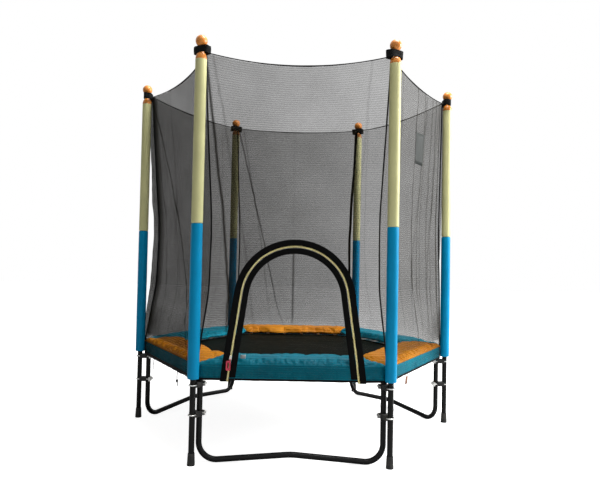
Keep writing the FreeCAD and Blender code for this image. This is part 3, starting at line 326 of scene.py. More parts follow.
class Finish:
    """A material in the making: its shader and a short way to add nodes."""

    def __init__(self, name, colour, roughness=0.5, **more):
        self.material = bpy.data.materials.new(name)
        self.material.use_nodes = True
        self.tree = self.material.node_tree
        self.shader = self.tree.nodes["Principled BSDF"]
        self.set(self.shader, {"Base Color": (*colour, 1), "Roughness": roughness, **more})
        self.relief_height = None

    def set(self, node, values):
        for name, value in values.items():
            socket = node.inputs[name]
            if isinstance(value, bpy.types.NodeSocket):
                self.tree.links.new(value, socket)
            else:
                socket.default_value = value

    def add(self, kind, values=None, output=0, **settings):
        node = self.tree.nodes.new("ShaderNode" + kind)
        for name, value in settings.items():
            setattr(node, name, value)
        self.set(node, values or {})
        return node.outputs[output]

    def place(self, stretch=(1, 1, 1), source="Object"):
        """Coordinates on the piece, stretched along its axes."""
        at = self.add("TexCoord").node.outputs[source]
        return self.add("Mapping", {"Vector": at, "Scale": stretch})

    def grain(self, per_metre, stretch=(1, 1, 1), detail=3.0, roughness=0.55, source="Object"):
        """Cloudy noise from 0 to 1, so many spots to the metre."""
        at = self.place(stretch, source)
        values = {"Vector": at, "Scale": per_metre, "Detail": detail, "Roughness": roughness}
        return self.add("TexNoise", values)

    def math(self, operation, a, b=0.0, c=None):
        node = self.tree.nodes.new("ShaderNodeMath")
        node.operation = operation
        for socket, value in zip(node.inputs, (a, b, c)):
            if isinstance(value, bpy.types.NodeSocket):
                self.tree.links.new(value, socket)
            elif value is not None:
                socket.default_value = value
        return node.outputs[0]

    def between(self, value, low, high, to_low=0.0, to_high=1.0):
        """Maps a value from one range to another, held at its ends."""
        values = {"Value": value, "From Min": low, "From Max": high, "To Min": to_low, "To Max": to_high}
        return self.add("MapRange", values)

    def ripple_of(self, value):
        """Height of a half wave for each unit of the value, from 0 to 1."""
        return self.math("ABSOLUTE", self.math("SINE", self.math("MULTIPLY", value, math.pi)))

    def blend(self, share, first, second):
        """Colour that goes from the first to the second."""
        node = self.tree.nodes.new("ShaderNodeMix")
        node.data_type = "RGBA"
        for socket, value in ((node.inputs[0], share), (node.inputs[6], first), (node.inputs[7], second)):
            if isinstance(value, bpy.types.NodeSocket):
                self.tree.links.new(value, socket)
            else:
                socket.default_value = value if isinstance(value, float) else (*value, 1)
        return node.outputs[2]

    def colour(self, socket):
        self.set(self.shader, {"Base Color": socket})

    def rough(self, value, low, high):
        self.set(self.shader, {"Roughness": self.between(value, 0.3, 0.7, low, high)})

    def relief(self, height, distance, strength=1.0):
        """Adds fine height to the surface, one layer over the other."""
        values = {"Height": height, "Distance": distance, "Strength": strength}
        if self.relief_height is not None:
            values["Normal"] = self.relief_height
        self.relief_height = self.add("Bump", values)
        self.set(self.shader, {"Normal": self.relief_height})


def foam_finish(name, colour, worn):
    """Closed-cell foam with a smooth skin, faint draw rings and rubbed places."""
    f = Finish(name, colour, 0.42, **{"Specular IOR Level": 0.12})
    cloud = f.grain(9, detail=4)
    deep = tuple(c * 0.86 for c in colour)
    tone = f.blend(f.between(cloud, 0.3, 0.7), deep, colour)
    rub = f.between(f.grain(60, (1, 1, 0.35), detail=6, roughness=0.7), 0.62, 0.74, 0, 0.5)
    f.colour(f.blend(rub, tone, worn))
    f.rough(cloud, 0.36, 0.52)
    f.relief(f.grain(16, (1, 1, 2.2), detail=2), 0.0016, 0.35)
    cells = f.add("TexVoronoi", {"Vector": f.place(), "Scale": 620.0})
    f.relief(cells, 0.00025, 0.4)
    return f.material


def plastic_finish(name, colour, dark, roughness=0.32):
    """Moulded plastic with faint flow marks."""
    f = Finish(name, colour, roughness, **{"Specular IOR Level": 0.5})
    flow = f.grain(70, (1, 1, 0.3), detail=5)
    f.colour(f.blend(f.between(flow, 0.35, 0.7), dark, colour))
    f.rough(flow, roughness - 0.04, roughness + 0.12)
    f.relief(f.grain(420, detail=2), 0.0002, 0.25)
    return f.material


def paint_finish(name, colour=(0.004, 0.004, 0.004)):
    """Black powder coat: orange peel, dust and a few rubbed spots."""
    f = Finish(name, colour, 0.3, **{"Specular IOR Level": 0.15})
    dust = f.between(f.grain(14, detail=6, roughness=0.65), 0.5, 0.8, 0, 0.6)
    dusty = tuple(c * 1.6 + 0.0015 for c in colour)
    scuff = f.between(f.grain(130, (1, 1, 0.25), detail=4, roughness=0.6), 0.72, 0.78, 0, 0.5)
    f.colour(f.blend(scuff, f.blend(dust, colour, dusty), (0.06, 0.06, 0.06)))
    f.rough(f.grain(30, detail=5), 0.26, 0.42)
    f.relief(f.grain(700, detail=1), 0.00012, 0.35)
    return f.material


def metal_finish(name, colour, roughness=0.28):
    """Bright zinc with fine drawn lines and dull patches."""
    f = Finish(name, colour, roughness, **{"Metallic": 1.0})
    cloud = f.grain(90, detail=5)
    dull = tuple(c * 0.72 for c in colour)
    f.colour(f.blend(f.between(cloud, 0.45, 0.7), colour, dull))
    f.rough(cloud, roughness, roughness + 0.2)
    f.relief(f.grain(900, (1, 1, 6), detail=1), 0.00008, 0.4)
    return f.material


def rubber_finish(name):
    f = Finish(name, (0.016, 0.016, 0.016), 0.7, **{"Specular IOR Level": 0.35})
    dust = f.grain(40, detail=6, roughness=0.7)
    f.colour(f.blend(f.between(dust, 0.45, 0.75), (0.013, 0.013, 0.013), (0.06, 0.057, 0.052)))
    f.rough(dust, 0.62, 0.85)
    f.relief(f.grain(500, detail=3), 0.0003, 0.5)
    return f.material


def weave_height(f, per_metre, source="UV"):
    """Plain weave: over and under threads, from 0 to 1."""
    at = f.place((per_metre, per_metre, per_metre), source)
    split = f.add("SeparateXYZ", {"Vector": at}).node.outputs
    warp, weft = f.ripple_of(split[0]), f.ripple_of(split[1])
    over = f.add("TexChecker", {"Vector": at, "Scale": 1.0}, output=1)
    under = f.math("SUBTRACT", 1.0, over)
    return f.math("ADD", f.math("MULTIPLY", warp, over), f.math("MULTIPLY", weft, under))


def coated_cloth(name, colour, dark, pale):
    """Coated cover cloth: fine weave under a skin, creases and paler patches of painted highlight."""
    f = Finish(name, colour, 0.4, **{"Specular IOR Level": 0.15})
    cloud = f.grain(7, detail=5)
    tone = f.blend(f.between(cloud, 0.3, 0.7), dark, colour)
    # Paler patches in the cloth's highlight colour: painted highlight
    painted_highlight = f.between(f.grain(38, detail=7, roughness=0.7), 0.6, 0.78, 0, 0.55)
    f.colour(f.blend(painted_highlight, tone, pale))
    f.rough(cloud, 0.38, 0.56)
    folds = f.add("TexNoise", {"Vector": f.place(), "Scale": 24.0, "Detail": 3.0, "Distortion": 1.2})
    f.relief(f.math("ABSOLUTE", f.math("SUBTRACT", folds, 0.5)), 0.006, 0.55)
    f.relief(f.grain(110, detail=3), 0.0009, 0.35)
    threads = weave_height(f, 900, "Object")
    f.relief(threads, 0.00018, 0.4)
    return f.material


def webbing_finish(name, colour=(0.005, 0.005, 0.005), rib=520, worn=0.004):
    """Woven tape with ribs across it, worn paler on the high threads."""
    f = Finish(name, colour, 0.62, **{"Specular IOR Level": 0.04})
    height = weave_height(f, rib)
    cloud = f.grain(50, detail=4)
    pale = tuple(c * 2.2 + worn for c in colour)
    f.colour(f.blend(f.math("MULTIPLY", height, f.between(cloud, 0.4, 0.8, 0.2, 0.9)), colour, pale))
    f.rough(cloud, 0.55, 0.75)
    f.relief(height, 0.0004, 0.6)
    return f.material


# Scale at which a wave texture has one band to the metre
WAVE_UNIT = 0.31416


def net_finish(name):
    """Fine knitted net of black thread. The attribute "cover" says how much of it is thread at each place,
    with painted shade and light mixed in.
    """
    f = Finish(name, (0.006, 0.006, 0.005), 0.8, **{"Specular IOR Level": 0.01})
    cover = f.add("Attribute", attribute_name="cover", output=2)
    at = f.place((1 / NET_PITCH, 1 / NET_PITCH, 1), "UV")
    split = f.add("SeparateXYZ", {"Vector": at}).node.outputs
    shift = f.math("MULTIPLY", f.grain(22, (1, 5, 1), detail=3, source="UV"), 3.0)
    x = f.math("ADD", split[0], shift)
    rising, falling = f.ripple_of(f.math("ADD", x, split[1])), f.ripple_of(f.math("SUBTRACT", x, split[1]))
    per_metre = WAVE_UNIT / NET_LINES
    wave = {"Vector": f.place(source="UV"), "Scale": per_metre, "Distortion": 1.2, "Detail Scale": 0.05}
    rows = f.add("TexWave", wave, output=1, bands_direction="Y")
    cloud = f.between(f.grain(5, detail=3), 0.3, 0.7, -0.03, 0.03)
    streaks = f.between(rows, 0.0, 1.0, -0.05, 0.05)
    thread = f.math("ADD", cover, f.math("ADD", cloud, streaks))
    weave = f.between(f.math("MULTIPLY", rising, falling), 0.0, 0.8, 0.22, -0.22)
    alpha = f.math("MINIMUM", f.math("MAXIMUM", f.math("ADD", thread, weave), 0.0), 1.0)
    f.set(f.shader, {"Alpha": alpha})
    f.colour(f.blend(f.between(rows, 0.3, 0.7), (0.006, 0.005, 0.003), (0.011, 0.009, 0.005)))
    f.relief(weave, 0.0003, 0.5)
    return f.material


def mat_finish(name):
    """Woven jumping mat: flat black threads with a dull shine and a painted highlight on the raised threads,
    dusty where feet land.
    """
    f = Finish(name, (0.006, 0.008, 0.006), 0.6, **{"Specular IOR Level": 0.015})
    height = weave_height(f, 620, "Object")
    cloud = f.grain(5, detail=6, roughness=0.65)
    tone = f.blend(f.between(cloud, 0.35, 0.75), (0.002, 0.003, 0.002), (0.005, 0.007, 0.005))
    # Raised threads painted paler: painted highlight on the weave
    f.colour(f.blend(f.math("MULTIPLY", height, 0.35), tone, (0.010, 0.012, 0.010)))
    f.rough(cloud, 0.5, 0.7)
    f.relief(f.grain(9, detail=2), 0.004, 0.25)
    f.relief(height, 0.0004, 0.5)
    return f.material


def cord_finish(name):
    """Braided black cord."""
    f = Finish(name, (0.015, 0.015, 0.015), 0.6, **{"Specular IOR Level": 0.3, "Sheen Weight": 0.15})
    wave = {"Vector": f.place(), "Scale": 260.0, "Distortion": 1.5}
    twist = f.add("TexWave", wave, output=1, bands_direction="DIAGONAL")
    f.colour(f.blend(twist, (0.010, 0.010, 0.010), (0.05, 0.05, 0.048)))
    f.rough(f.grain(200), 0.5, 0.7)
    f.relief(twist, 0.0005, 0.7)
    return f.material


def label_finish(name, colour):
    """Small sewn label of smooth ribbon."""
    f = Finish(name, colour, 0.5, **{"Specular IOR Level": 0.05})
    cloud = f.grain(120, detail=5)
    dull = tuple(c * 0.8 for c in colour)
    f.colour(f.blend(f.between(cloud, 0.35, 0.7), dull, colour))
    f.rough(cloud, 0.42, 0.6)
    f.relief(weave_height(f, 1600, "Object"), 0.0001, 0.4)
    return f.material


place_camera()

foam_blue = foam_finish("foam_blue", (0.0, 0.29, 0.56), (0.06, 0.42, 0.68))
foam_yellow = foam_finish("foam_yellow", (0.72, 0.70, 0.36), (0.80, 0.78, 0.50))
cap_orange = plastic_finish("cap_orange", (0.80, 0.28, 0.035), (0.62, 0.20, 0.02))
tube_black = paint_finish("tube_black")
zinc = metal_finish("zinc", (0.62, 0.62, 0.60))
rubber = rubber_finish("foot_rubber")
webbing = webbing_finish("webbing_black")
band_cloth = webbing_finish("band_cloth", (0.002, 0.002, 0.002), 420, 0.001)
net_cloth = net_finish("net_cloth")
# The last colour of each cloth is the colour of its painted highlight
teal_cloth = coated_cloth("teal_cloth", (0.0, 0.34, 0.47), (0.0, 0.24, 0.35), (0.01, 0.48, 0.60))
orange_cloth = coated_cloth("orange_cloth", (0.86, 0.33, 0.015), (0.70, 0.23, 0.008), (0.90, 0.46, 0.06))
mat_cloth = mat_finish("mat_weave")
zip_gold = plastic_finish("zip_gold", (1.0, 0.92, 0.44), (0.94, 0.78, 0.30), 0.35)
slider_metal = metal_finish("slider_metal", (0.55, 0.52, 0.46))
pull_red = plastic_finish("pull_red", (0.62, 0.05, 0.09), (0.45, 0.03, 0.06), 0.42)
lace = cord_finish("lace_black")
label_grey = label_finish("label_grey", (0.040, 0.044, 0.042))
label_white = label_finish("label_white", (0.80, 0.82, 0.82))
label_brown = label_finish("label_brown", (0.22, 0.11, 0.07))


# Loose ends of the lacing cord, which hang from the hem of the left front bay

# How far out from the rail the cord leaves the hem, and how high
CORD_OUT, CORD_HEIGHT = 0.01685, 0.302


def tie_route(along, steps):
    """Run of a cord end, its steps given along the hem, outwards and upwards from where it leaves the hem."""
    out = RAIL_OUT + CORD_OUT
    points = [(along + x, -out - y, CORD_HEIGHT + z) for x, y, z in steps]
    return [tuple(p) for p in turned(np.array(points), 300)]


def tie_end(name, along, steps, far_end, knot=None):
    route = tie_route(along, steps)
    cord = tube_along(name, route, CORD_RADIUS)
    cord.data.resolution_u = 12
    dress(cord, lace, "frame", [name.replace("_shown", "")])


def tie_knot(at):
    """Overhand knot with a short tail: one cord wound over itself."""
    turns = []
    for n in range(26):
        a = n / 25 * math.tau * 1.6
        lobe = 0.0030 + 0.0008 * math.sin(a * 1.5)
        turns.append((lobe * math.cos(a), lobe * math.sin(a), -0.0055 + 0.0042 * math.sin(a * 1.5 + 0.6)))
    tail = [(0.001, 0.0, -0.011), (0.0022, 0.0, -0.017), (0.003, 0.0004, -0.0245)]
    points = [(at[0] + x, at[1] + y, at[2] + z) for x, y, z in [(0, 0, 0.0012)] + turns + tail]
    knot = as_mesh(tube_along("tie_knot_shown", points, CORD_RADIUS))
    soften(knot, 60)
    return dress(knot, lace, "frame", ["tie_knot"])


# Place along the hem, and steps down from it
TIE_LEFT = (-0.180, [(0, 0, 0), (0.0015, 0.001, -0.013), (-0.0025, 0.003, -0.029), (0.0005, 0.002, -0.045)])
TIE_RIGHT = (0.148, [(0, 0, 0), (-0.0015, 0.0015, -0.014), (0.001, 0.001, -0.031)])
tie_end("tie_end_1_shown", *TIE_LEFT, "bare")
tie_end("tie_end_2_shown", *TIE_RIGHT, "knot", tie_knot(tie_route(*TIE_RIGHT)[-1]))


# Foam sleeves

# Half the seam between a pole's two sleeves, the depth of the hollow in a sleeve's end, its rim's rounding
SLEEVE_SEAM, SLEEVE_HOLLOW, SLEEVE_ROUNDING = 0.0002, 0.012, 0.003
ROUND_SIDES = 48
CLOSE = 1e-4


def foam_sleeve(name, low, high):
    """Foam tube round a pole at the centre: hollow ends, soft rims, rings along it."""
    middle = (0, 0, (low + high) / 2)
    bpy.ops.mesh.primitive_cylinder_add(
        vertices=ROUND_SIDES, radius=FOAM_RADIUS, depth=high - low, end_fill_type="NGON", location=middle
    )
    sleeve = started(name)
    settle(sleeve)
    open_mesh(sleeve)
    for end, sign in ((low, 1), (high, -1)):

        def is_end(face):
            return len(face.verts) == ROUND_SIDES and abs(face.calc_center_median().z - end) < CLOSE

        choose(sleeve, "faces", is_end)
        bpy.ops.mesh.inset(thickness=FOAM_RADIUS - FOAM_BORE)
        bpy.ops.mesh.extrude_region_move(TRANSFORM_OT_translate={"value": (0, 0, sign * SLEEVE_HOLLOW)})
    bpy.ops.mesh.select_mode(type="EDGE")

    def is_rim(edge):
        at_end = all(min(abs(v.co.z - low), abs(v.co.z - high)) < CLOSE for v in edge.verts)
        return at_end and all(v.co.xy.length > FOAM_RADIUS - 0.002 for v in edge.verts)

    choose(sleeve, "edges", is_rim)
    bpy.ops.mesh.bevel(offset=SLEEVE_ROUNDING, segments=4, profile=0.5, affect="EDGES")
    choose(sleeve, "edges", lambda edge: edge.calc_length() > 0.2)
    bpy.ops.mesh.subdivide(number_cuts=28)
    close_mesh()
    return sleeve


def finish_sleeve(sleeve, material, node):
    """Slight dents, soft shading and the sleeve's finish."""
    clouds = bpy.data.textures.new(sleeve.name, "CLOUDS")
    clouds.noise_scale = 0.11
    clouds.noise_depth = 1
    modify(sleeve, "DISPLACE", texture=clouds, texture_coords="LOCAL", strength=0.0016, mid_level=0.5)
    soften(sleeve, 50)
    dress(sleeve, material, "frame", [node])


lower_sleeve = foam_sleeve("lower_sleeve", FOAM_LOW, FOAM_JOINT - SLEEVE_SEAM)
upper_sleeve = foam_sleeve("upper_sleeve", FOAM_JOINT + SLEEVE_SEAM, FOAM_TOP)
for n, azimuth in enumerate(POLES):
    for pattern, part, material, slot in (
        (lower_sleeve, "lower", foam_blue, "foam_blue"), (upper_sleeve, "upper", foam_yellow, "foam_yellow"),
    ):
        sleeve = twin(pattern, f"{part}_sleeve_{CORNER_NAMES[n]}", azimuth, (POLE_CIRCLE, 0, 0))
        finish_sleeve(sleeve, material, f"{part}_foam_{n + 1}")
for pattern in (lower_sleeve, upper_sleeve):
    bpy.data.objects.remove(pattern)


# Pole caps

NECK_TOP = 1.5535
NECK_FLARE = 0.0113
BALL_RINGS = 16
# Radius of the ball where it sits on the neck, and the angle left open at its top
BALL_SEAT, BALL_TOP_ANGLE = 0.0128, 0.16


def cap_steps():
    """Heights and radii of the cap's rings: rim, dome, neck and ball."""
    steps = [(FOAM_TOP, 0.0212), (FOAM_TOP + 0.0008, FOAM_RADIUS)]
    for angle in range(12, 80, 8):
        a = math.radians(angle)
        steps.append((FOAM_TOP + (DOME_TOP - FOAM_TOP) * math.sin(a), 0.0095 + 0.012 * math.cos(a)))
    steps += [(DOME_TOP + 0.0005, 0.0112), (DOME_TOP + 0.002, NECK_RADIUS)]
    steps += [(NECK_TOP, NECK_RADIUS), (NECK_TOP + 0.002, NECK_FLARE)]
    lowest = math.asin(BALL_SEAT / BALL_RADIUS)
    for n in range(BALL_RINGS + 1):
        a = lowest + (math.pi - BALL_TOP_ANGLE - lowest) * n / BALL_RINGS
        steps.append((BALL_HEIGHT - BALL_RADIUS * math.cos(a), BALL_RADIUS * math.sin(a)))
    return steps


def pole_cap():
    """Cap raised ring by ring from its rim."""
    steps = cap_steps()
    foot = (0, 0, steps[0][0] - 0.001)
    bpy.ops.mesh.primitive_cylinder_add(
        vertices=ROUND_SIDES, radius=steps[0][1], depth=0.002, end_fill_type="NGON", location=foot
    )
    cap = started("pole_cap")
    settle(cap)
    open_mesh(cap)
    choose(cap, "faces", lambda face: face.normal.z > 0.9)
    height, radius = steps[0]
    for level, wide in steps[1:]:
        bpy.ops.mesh.extrude_region_move(TRANSFORM_OT_translate={"value": (0, 0, level - height)})
        bpy.ops.transform.resize(value=(wide / radius, wide / radius, 1), center_override=(0, 0, level))
        height, radius = level, wide
    bpy.ops.mesh.inset(thickness=radius * 0.6)
    bpy.ops.transform.translate(value=(0, 0, 0.0002))
    close_mesh()
    return cap


cap = pole_cap()
for n, azimuth in enumerate(POLES):
    made = twin(cap, f"pole_cap_{CORNER_NAMES[n]}", azimuth, (POLE_CIRCLE, 0, 0))
    soften(made, 40)
    dress(made, cap_orange, "frame", ["pole_caps"])
bpy.data.objects.remove(cap)


# Net

# How much wider the net is below its waist, and how far its middle is drawn in at the waist
WAIST_EASE, WAIST_DRAW = 0.008, 0.012


def waists(bay):
    """Corner radii of a bay's net at its waist, left and right as seen from outside."""
    return NET_WAISTS[bay], NET_WAISTS[(bay + 1) % 6]


def net_rows(bay, s):
    """Rows of points on the outer face of a bay's net, in the front bay's place, s from -1 to 1."""
    left, right = waists(bay)
    chest_left, chest_right = (left + NET_TOP) / 2, (right + NET_TOP) / 2
    bow = NET_BOWS[bay]
    waist = (left + right) / 2 * COS30 - WAIST_DRAW
    chest = (chest_left + chest_right) / 2 * COS30 - (WAIST_DRAW + bow) / 2
    # Radius at the left and the right corner, distance of the middle and its sag, for each row above the pads
    hung = [
        (left + WAIST_EASE, right + WAIST_EASE, waist + WAIST_EASE, 0), (left, right, waist, 0),
        (chest_left, chest_right, chest, 0), (NET_TOP, NET_TOP, NET_TOP * COS30 - bow, NET_SAGS[bay]),
    ]
    away = np.abs(s)
    bend = np.radians(ramp(away, STRAIGHT_SHARE, 1 - STRAIGHT_SHARE) * 30)
    x = np.minimum(away, STRAIGHT_SHARE) / STRAIGHT_SHARE * RAIL_HALF_RUN
    x = x + (RAIL_BEND + NET_OUT) * np.sin(bend)
    y = -(RAIL_OUT - RAIL_BEND) - (RAIL_BEND + NET_OUT) * np.cos(bend)
    rows = [np.stack([np.sign(s) * x, y, np.full_like(x, z)], -1) for z in ROW_HEIGHTS[:2]]
    for corner_z, (a, b, apothem, sag) in zip(ROW_HEIGHTS[2:], hung):
        corner = np.where(s < 0, a, b)
        middle_z = corner_z - sag
        y = -apothem + (apothem - corner * COS30) * s ** 2
        rows.append(np.stack([s * corner / 2, y, middle_z + (corner_z - middle_z) * s ** 2], -1))
    return np.array(rows)


def softened(heights, row):
    """How much of a change of slope at a row has to be added to round it off, at each height."""
    width = ROW_SOFTNESS[row]
    return np.clip(width - np.abs(heights - ROW_HEIGHTS[row]), 0, None) ** 2 / (4 * width)


def hung_points(bay, s, heights):
    """Net surface at places s along a bay and nominal heights, one point for each pair."""
    s, heights = np.broadcast_arrays(s, heights)
    shape = s.shape
    s, heights = s.ravel().astype(float), heights.ravel().astype(float)
    rows = net_rows(bay, s)
    slopes = (rows[1:] - rows[:-1]) / np.diff(ROW_HEIGHTS)[:, None, None]
    row = np.clip(np.searchsorted(ROW_HEIGHTS, heights, side="right") - 1, 0, 4)
    each = np.arange(len(s))
    points = rows[row, each] + slopes[row, each] * (heights - ROW_HEIGHTS[row])[:, None]
    for n in range(1, 5):
        points += softened(heights, n)[:, None] * (slopes[n] - slopes[n - 1])
    points[:, 1] += NET_MIDDLE
    return points.reshape(*shape, 3)


# Folds of each bay: place along it at the top and at the foot (-1 to 1), depth, width, how dark its line is
FOLDS = {
    0: [(-1.0, -0.66, 0.004, 0.05, 0.45), (-0.92, -0.30, 0.003, 0.05, 0.10),
        (0.80, 0.66, 0.004, 0.06, 0.08), (0.2, 0.3, -0.003, 0.10, 0.0)],
    1: [(-0.55, -0.35, 0.006, 0.06, 0.12), (0.02, 0.05, 0.007, 0.05, 0.40), (0.45, 0.35, -0.006, 0.06, 0.15),
        (0.75, 0.62, 0.006, 0.05, 0.20), (0.90, 0.86, 0.005, 0.05, 0.45), (0.33, 0.20, 0.003, 0.05, 0.20),
        (0.62, 0.50, 0.003, 0.05, 0.18), (0.86, 0.40, 0.003, 0.04, 0.16)],
    2: [(-0.7, -0.4, 0.006, 0.07, 0.15), (0.1, 0.2, -0.006, 0.08, 0.10), (0.7, 0.5, 0.005, 0.06, 0.15)],
    3: [(-0.8, -0.4, 0.004, 0.06, 0.0), (0.05, 0.0, 0.004, 0.05, 0.05), (0.98, 0.09, 0.005, 0.05, 0.35),
        (0.90, 0.30, 0.003, 0.05, 0.15)],
    4: [(-0.6, -0.3, 0.007, 0.06, 0.10), (0.1, 0.0, -0.006, 0.07, 0.08), (0.92, 0.30, 0.008, 0.04, 0.10)],
    5: [(-0.98, 0.90, 0.008, 0.05, 0.30), (-0.94, -0.35, 0.006, 0.04, 0.15),
        (-0.975, -0.955, 0.003, 0.04, 0.14), (-0.4, 0.0, 0.006, 0.06, 0.10), (0.6, 0.3, -0.006, 0.06, 0.12)],
}


# How much of each bay is thread, at its left and right end as seen from outside. These values also hold
# painted shade and light: the bays on the left are made denser as painted shade, and those on the right
# thinner as painted light.
NET_COVER_AND_PAINTED_LIGHT = [(0.71, 0.56), (0.62, 0.66), (0.30, 0.30), (0.44, 0.60), (0.56, 0.56), (0.84, 0.86)]
# How much of that is left where the pads are seen through the net, and over what height it changes. This
# thinning is painted light: it lets the pads behind the net read brighter.
THINNED_AS_PAINTED_LIGHT, THINNING_FADE, DOOR_FADE = 0.6, 0.012, 0.07
# How wide the front net's half is taken to be when a share along it is turned into a place
FRONT_HALF = 0.33


def arch_distance(x, z):
    """How far a point of the front bay lies outside the zip's line, negative inside it."""
    hub = ARCH_CROWN - ARCH_RADIUS
    across = np.abs(x - ARCH_CENTRE)
    up = z - hub
    over = np.hypot(across, up) - ARCH_RADIUS
    beside = (across - ARCH_RADIUS * math.cos(ARCH_LEAN)) * math.cos(ARCH_LEAN)
    beside = beside + (up - ARCH_RADIUS * math.sin(ARCH_LEAN)) * math.sin(ARCH_LEAN)
    return np.where(up > across * math.tan(ARCH_LEAN), over, beside)


def pads_seen_below(bay, s):
    """Height below which the pads are seen through a bay's net from the front."""
    if bay == 0:
        return 0.498 - 0.047 * ramp(np.abs(s + 0.08), 0.45, 0.5)
    return 0.395 if bay in (1, 5) else 0.0


def net_density(bay, s, heights, fade):
    """How much of a bay's net is thread, with painted shade and light, apart from the dark lines of its
    folds.
    """
    # Cover from the bay's left end to its right: thread, with painted shade on the left bays and painted
    # light on the right ones
    left, right = NET_COVER_AND_PAINTED_LIGHT[bay]
    thread_and_painted_light = left + (right - left) * (s + 1) / 2
    fade_from = pads_seen_below(bay, s) - (fade - THINNING_FADE) / 2
    # Net thinned where the pads are seen through it from the front: painted light on the pads
    thread_and_painted_light = thread_and_painted_light * (THINNED_AS_PAINTED_LIGHT + (1 - THINNED_AS_PAINTED_LIGHT) * ramp(heights, fade_from, fade))
    # Denser net low down by the side poles and up the left pole: real gathering and bunching, with painted
    # shade at the shaded left pole
    gathered_and_painted_shade = {1: 0.22 * ramp(s, 0.3, 0.7), 5: 0.08 + 0.14 * ramp(-s, 0.3, 0.7)}
    bunched_and_painted_shade = {4: 0.30 * ramp(s, 0.88, 0.05), 5: 0.14 * ramp(-s, 0.88, 0.05)}
    thread_and_painted_light = thread_and_painted_light + gathered_and_painted_shade.get(bay, 0.0) * ramp(-heights, -0.54, 0.08)
    return thread_and_painted_light + bunched_and_painted_shade.get(bay, 0.0) * ramp(heights, 0.34, 0.05)


def fold_depth(bay, s, heights):
    """How far the net swings out of its plain surface, and how dark the lines of its folds are."""
    rise = ramp(heights, NET_LOW, NET_HIGH - NET_LOW)
    depth = np.zeros(np.broadcast(s, heights).shape)
    dark = np.zeros_like(depth)
    for top, foot, deep, wide, line in FOLDS[bay]:
        at = foot + (top - foot) * rise ** 0.8
        depth += deep * hump(s - at, wide)
        course = np.stack([heights, 0 * heights + top, 0 * heights + bay], -1)
        wander = 0.016 * ripple(course, 0.11, 0.4) + 0.007 * ripple(course, 0.03, 1.9)
        beside = s - at - wander * (1 - np.abs(s) ** 6)
        dark += line * hump(beside, 0.012) * np.clip(rise * 4, 0, 1)
    flat = np.stack(np.broadcast_arrays(s * 0.34, heights * 0.16, 0 * s + bay), -1)
    depth += 0.0045 * ripple(flat, 0.05, 3.1) + 0.0020 * ripple(flat, 0.018, 7.7)
    held = (1 - np.abs(s) ** 8) * ramp(heights, 0.36, 0.12) * ramp(-heights, -1.56, 0.05)
    if bay == 0:
        held = held * ramp(np.abs(arch_distance(s * FRONT_HALF, heights)), 0.035, 0.10)
    return depth * held, dark


def net_surface(bay, s, heights, out=0.0, fade=THINNING_FADE):
    """Points of a bay's net with its folds, moved out by a distance, in their real place."""
    points = hung_points(bay, s, heights)
    s, heights = np.broadcast_arrays(np.asarray(s, float), np.asarray(heights, float))
    depth, dark = fold_depth(bay, s, heights)
    points[..., 1] -= depth + out
    return turned(points, 60 * bay), net_density(bay, s, heights, fade) + dark


def front_place(x, z):
    """Share along the front bay for a place x at a height."""
    sides = []
    for waist in waists(0):
        half = np.array([NET_FOOT, NET_FOOT, waist + WAIST_EASE, waist, (waist + NET_TOP) / 2, NET_TOP]) / 2
        steps = np.diff(half) / np.diff(ROW_HEIGHTS)
        wide = np.interp(z, ROW_HEIGHTS, half)
        for n in range(1, 5):
            wide = wide + softened(z, n) * (steps[n] - steps[n - 1])
        sides.append(wide)
    return x / np.where(x < 0, sides[0], sides[1])


# How far the front net's cut edge lies outside the zip's line, and the door's net inside it
NET_FROM_ZIP, DOOR_FROM_ZIP = 0.013, -0.018


def net_panel(bay):
    """Panel of one bay, the front one with the door cut out."""
    s, heights = np.meshgrid(np.linspace(-1, 1, 151), np.linspace(NET_LOW, NET_HIGH, 171))
    points, cover = net_surface(bay, s, heights)
    keep, area = None, 0.82
    if bay == 0:
        keep, area = arch_distance(points[..., 0], points[..., 2]) > NET_FROM_ZIP, 0.62
    panel = cloth_grid(f"net_{BAY_NAMES[bay]}", points, keep, cover=cover)
    dress(panel, net_cloth, "frame", [f"net_panel_{bay + 1}"])


def door_net():
    """Net inside the arch, with the dark line of a seam down from its crown."""
    s, heights = np.meshgrid(np.linspace(-0.72, 0.74, 121), np.linspace(0.3192, 0.80, 121))
    points, cover = net_surface(0, s, heights, fade=DOOR_FADE)
    keep = arch_distance(points[..., 0], points[..., 2]) < DOOR_FROM_ZIP
    cover += 0.3 * hump(points[..., 0] + 0.004, 0.0035) * ramp(heights, 0.50, 0.05)
    net = cloth_grid("door_net_shown", points, keep, cover=cover)
    dress(net, net_cloth, "door", ["door_net"])


for bay in range(6):
    net_panel(bay)
door_net()


# Seam tapes and gathers down the net's corners, the piping along its top and the hem at its foot


def corner_radius(corner, heights):
    """Distance of a corner seam of the net from the trampoline's centre."""
    points = hung_points(corner, -1.0, heights)
    return np.hypot(points[..., 0], points[..., 1])


def corner_line(corner, heights):
    """Places for the noise down a corner."""
    return np.stack([heights * 0, heights * 0 + corner, heights], -1)


def beside_corner(corner, r, t, heights):
    """Points by a corner: r out from the trampoline's centre, t to the side, one row for each height."""
    angle = math.radians(POLES[corner])
    x = r * math.cos(angle) - t * math.sin(angle)
    y = r * math.sin(angle) + t * math.cos(angle)
    return np.stack([x, y, np.broadcast_to(heights[:, None], x.shape)], -1)


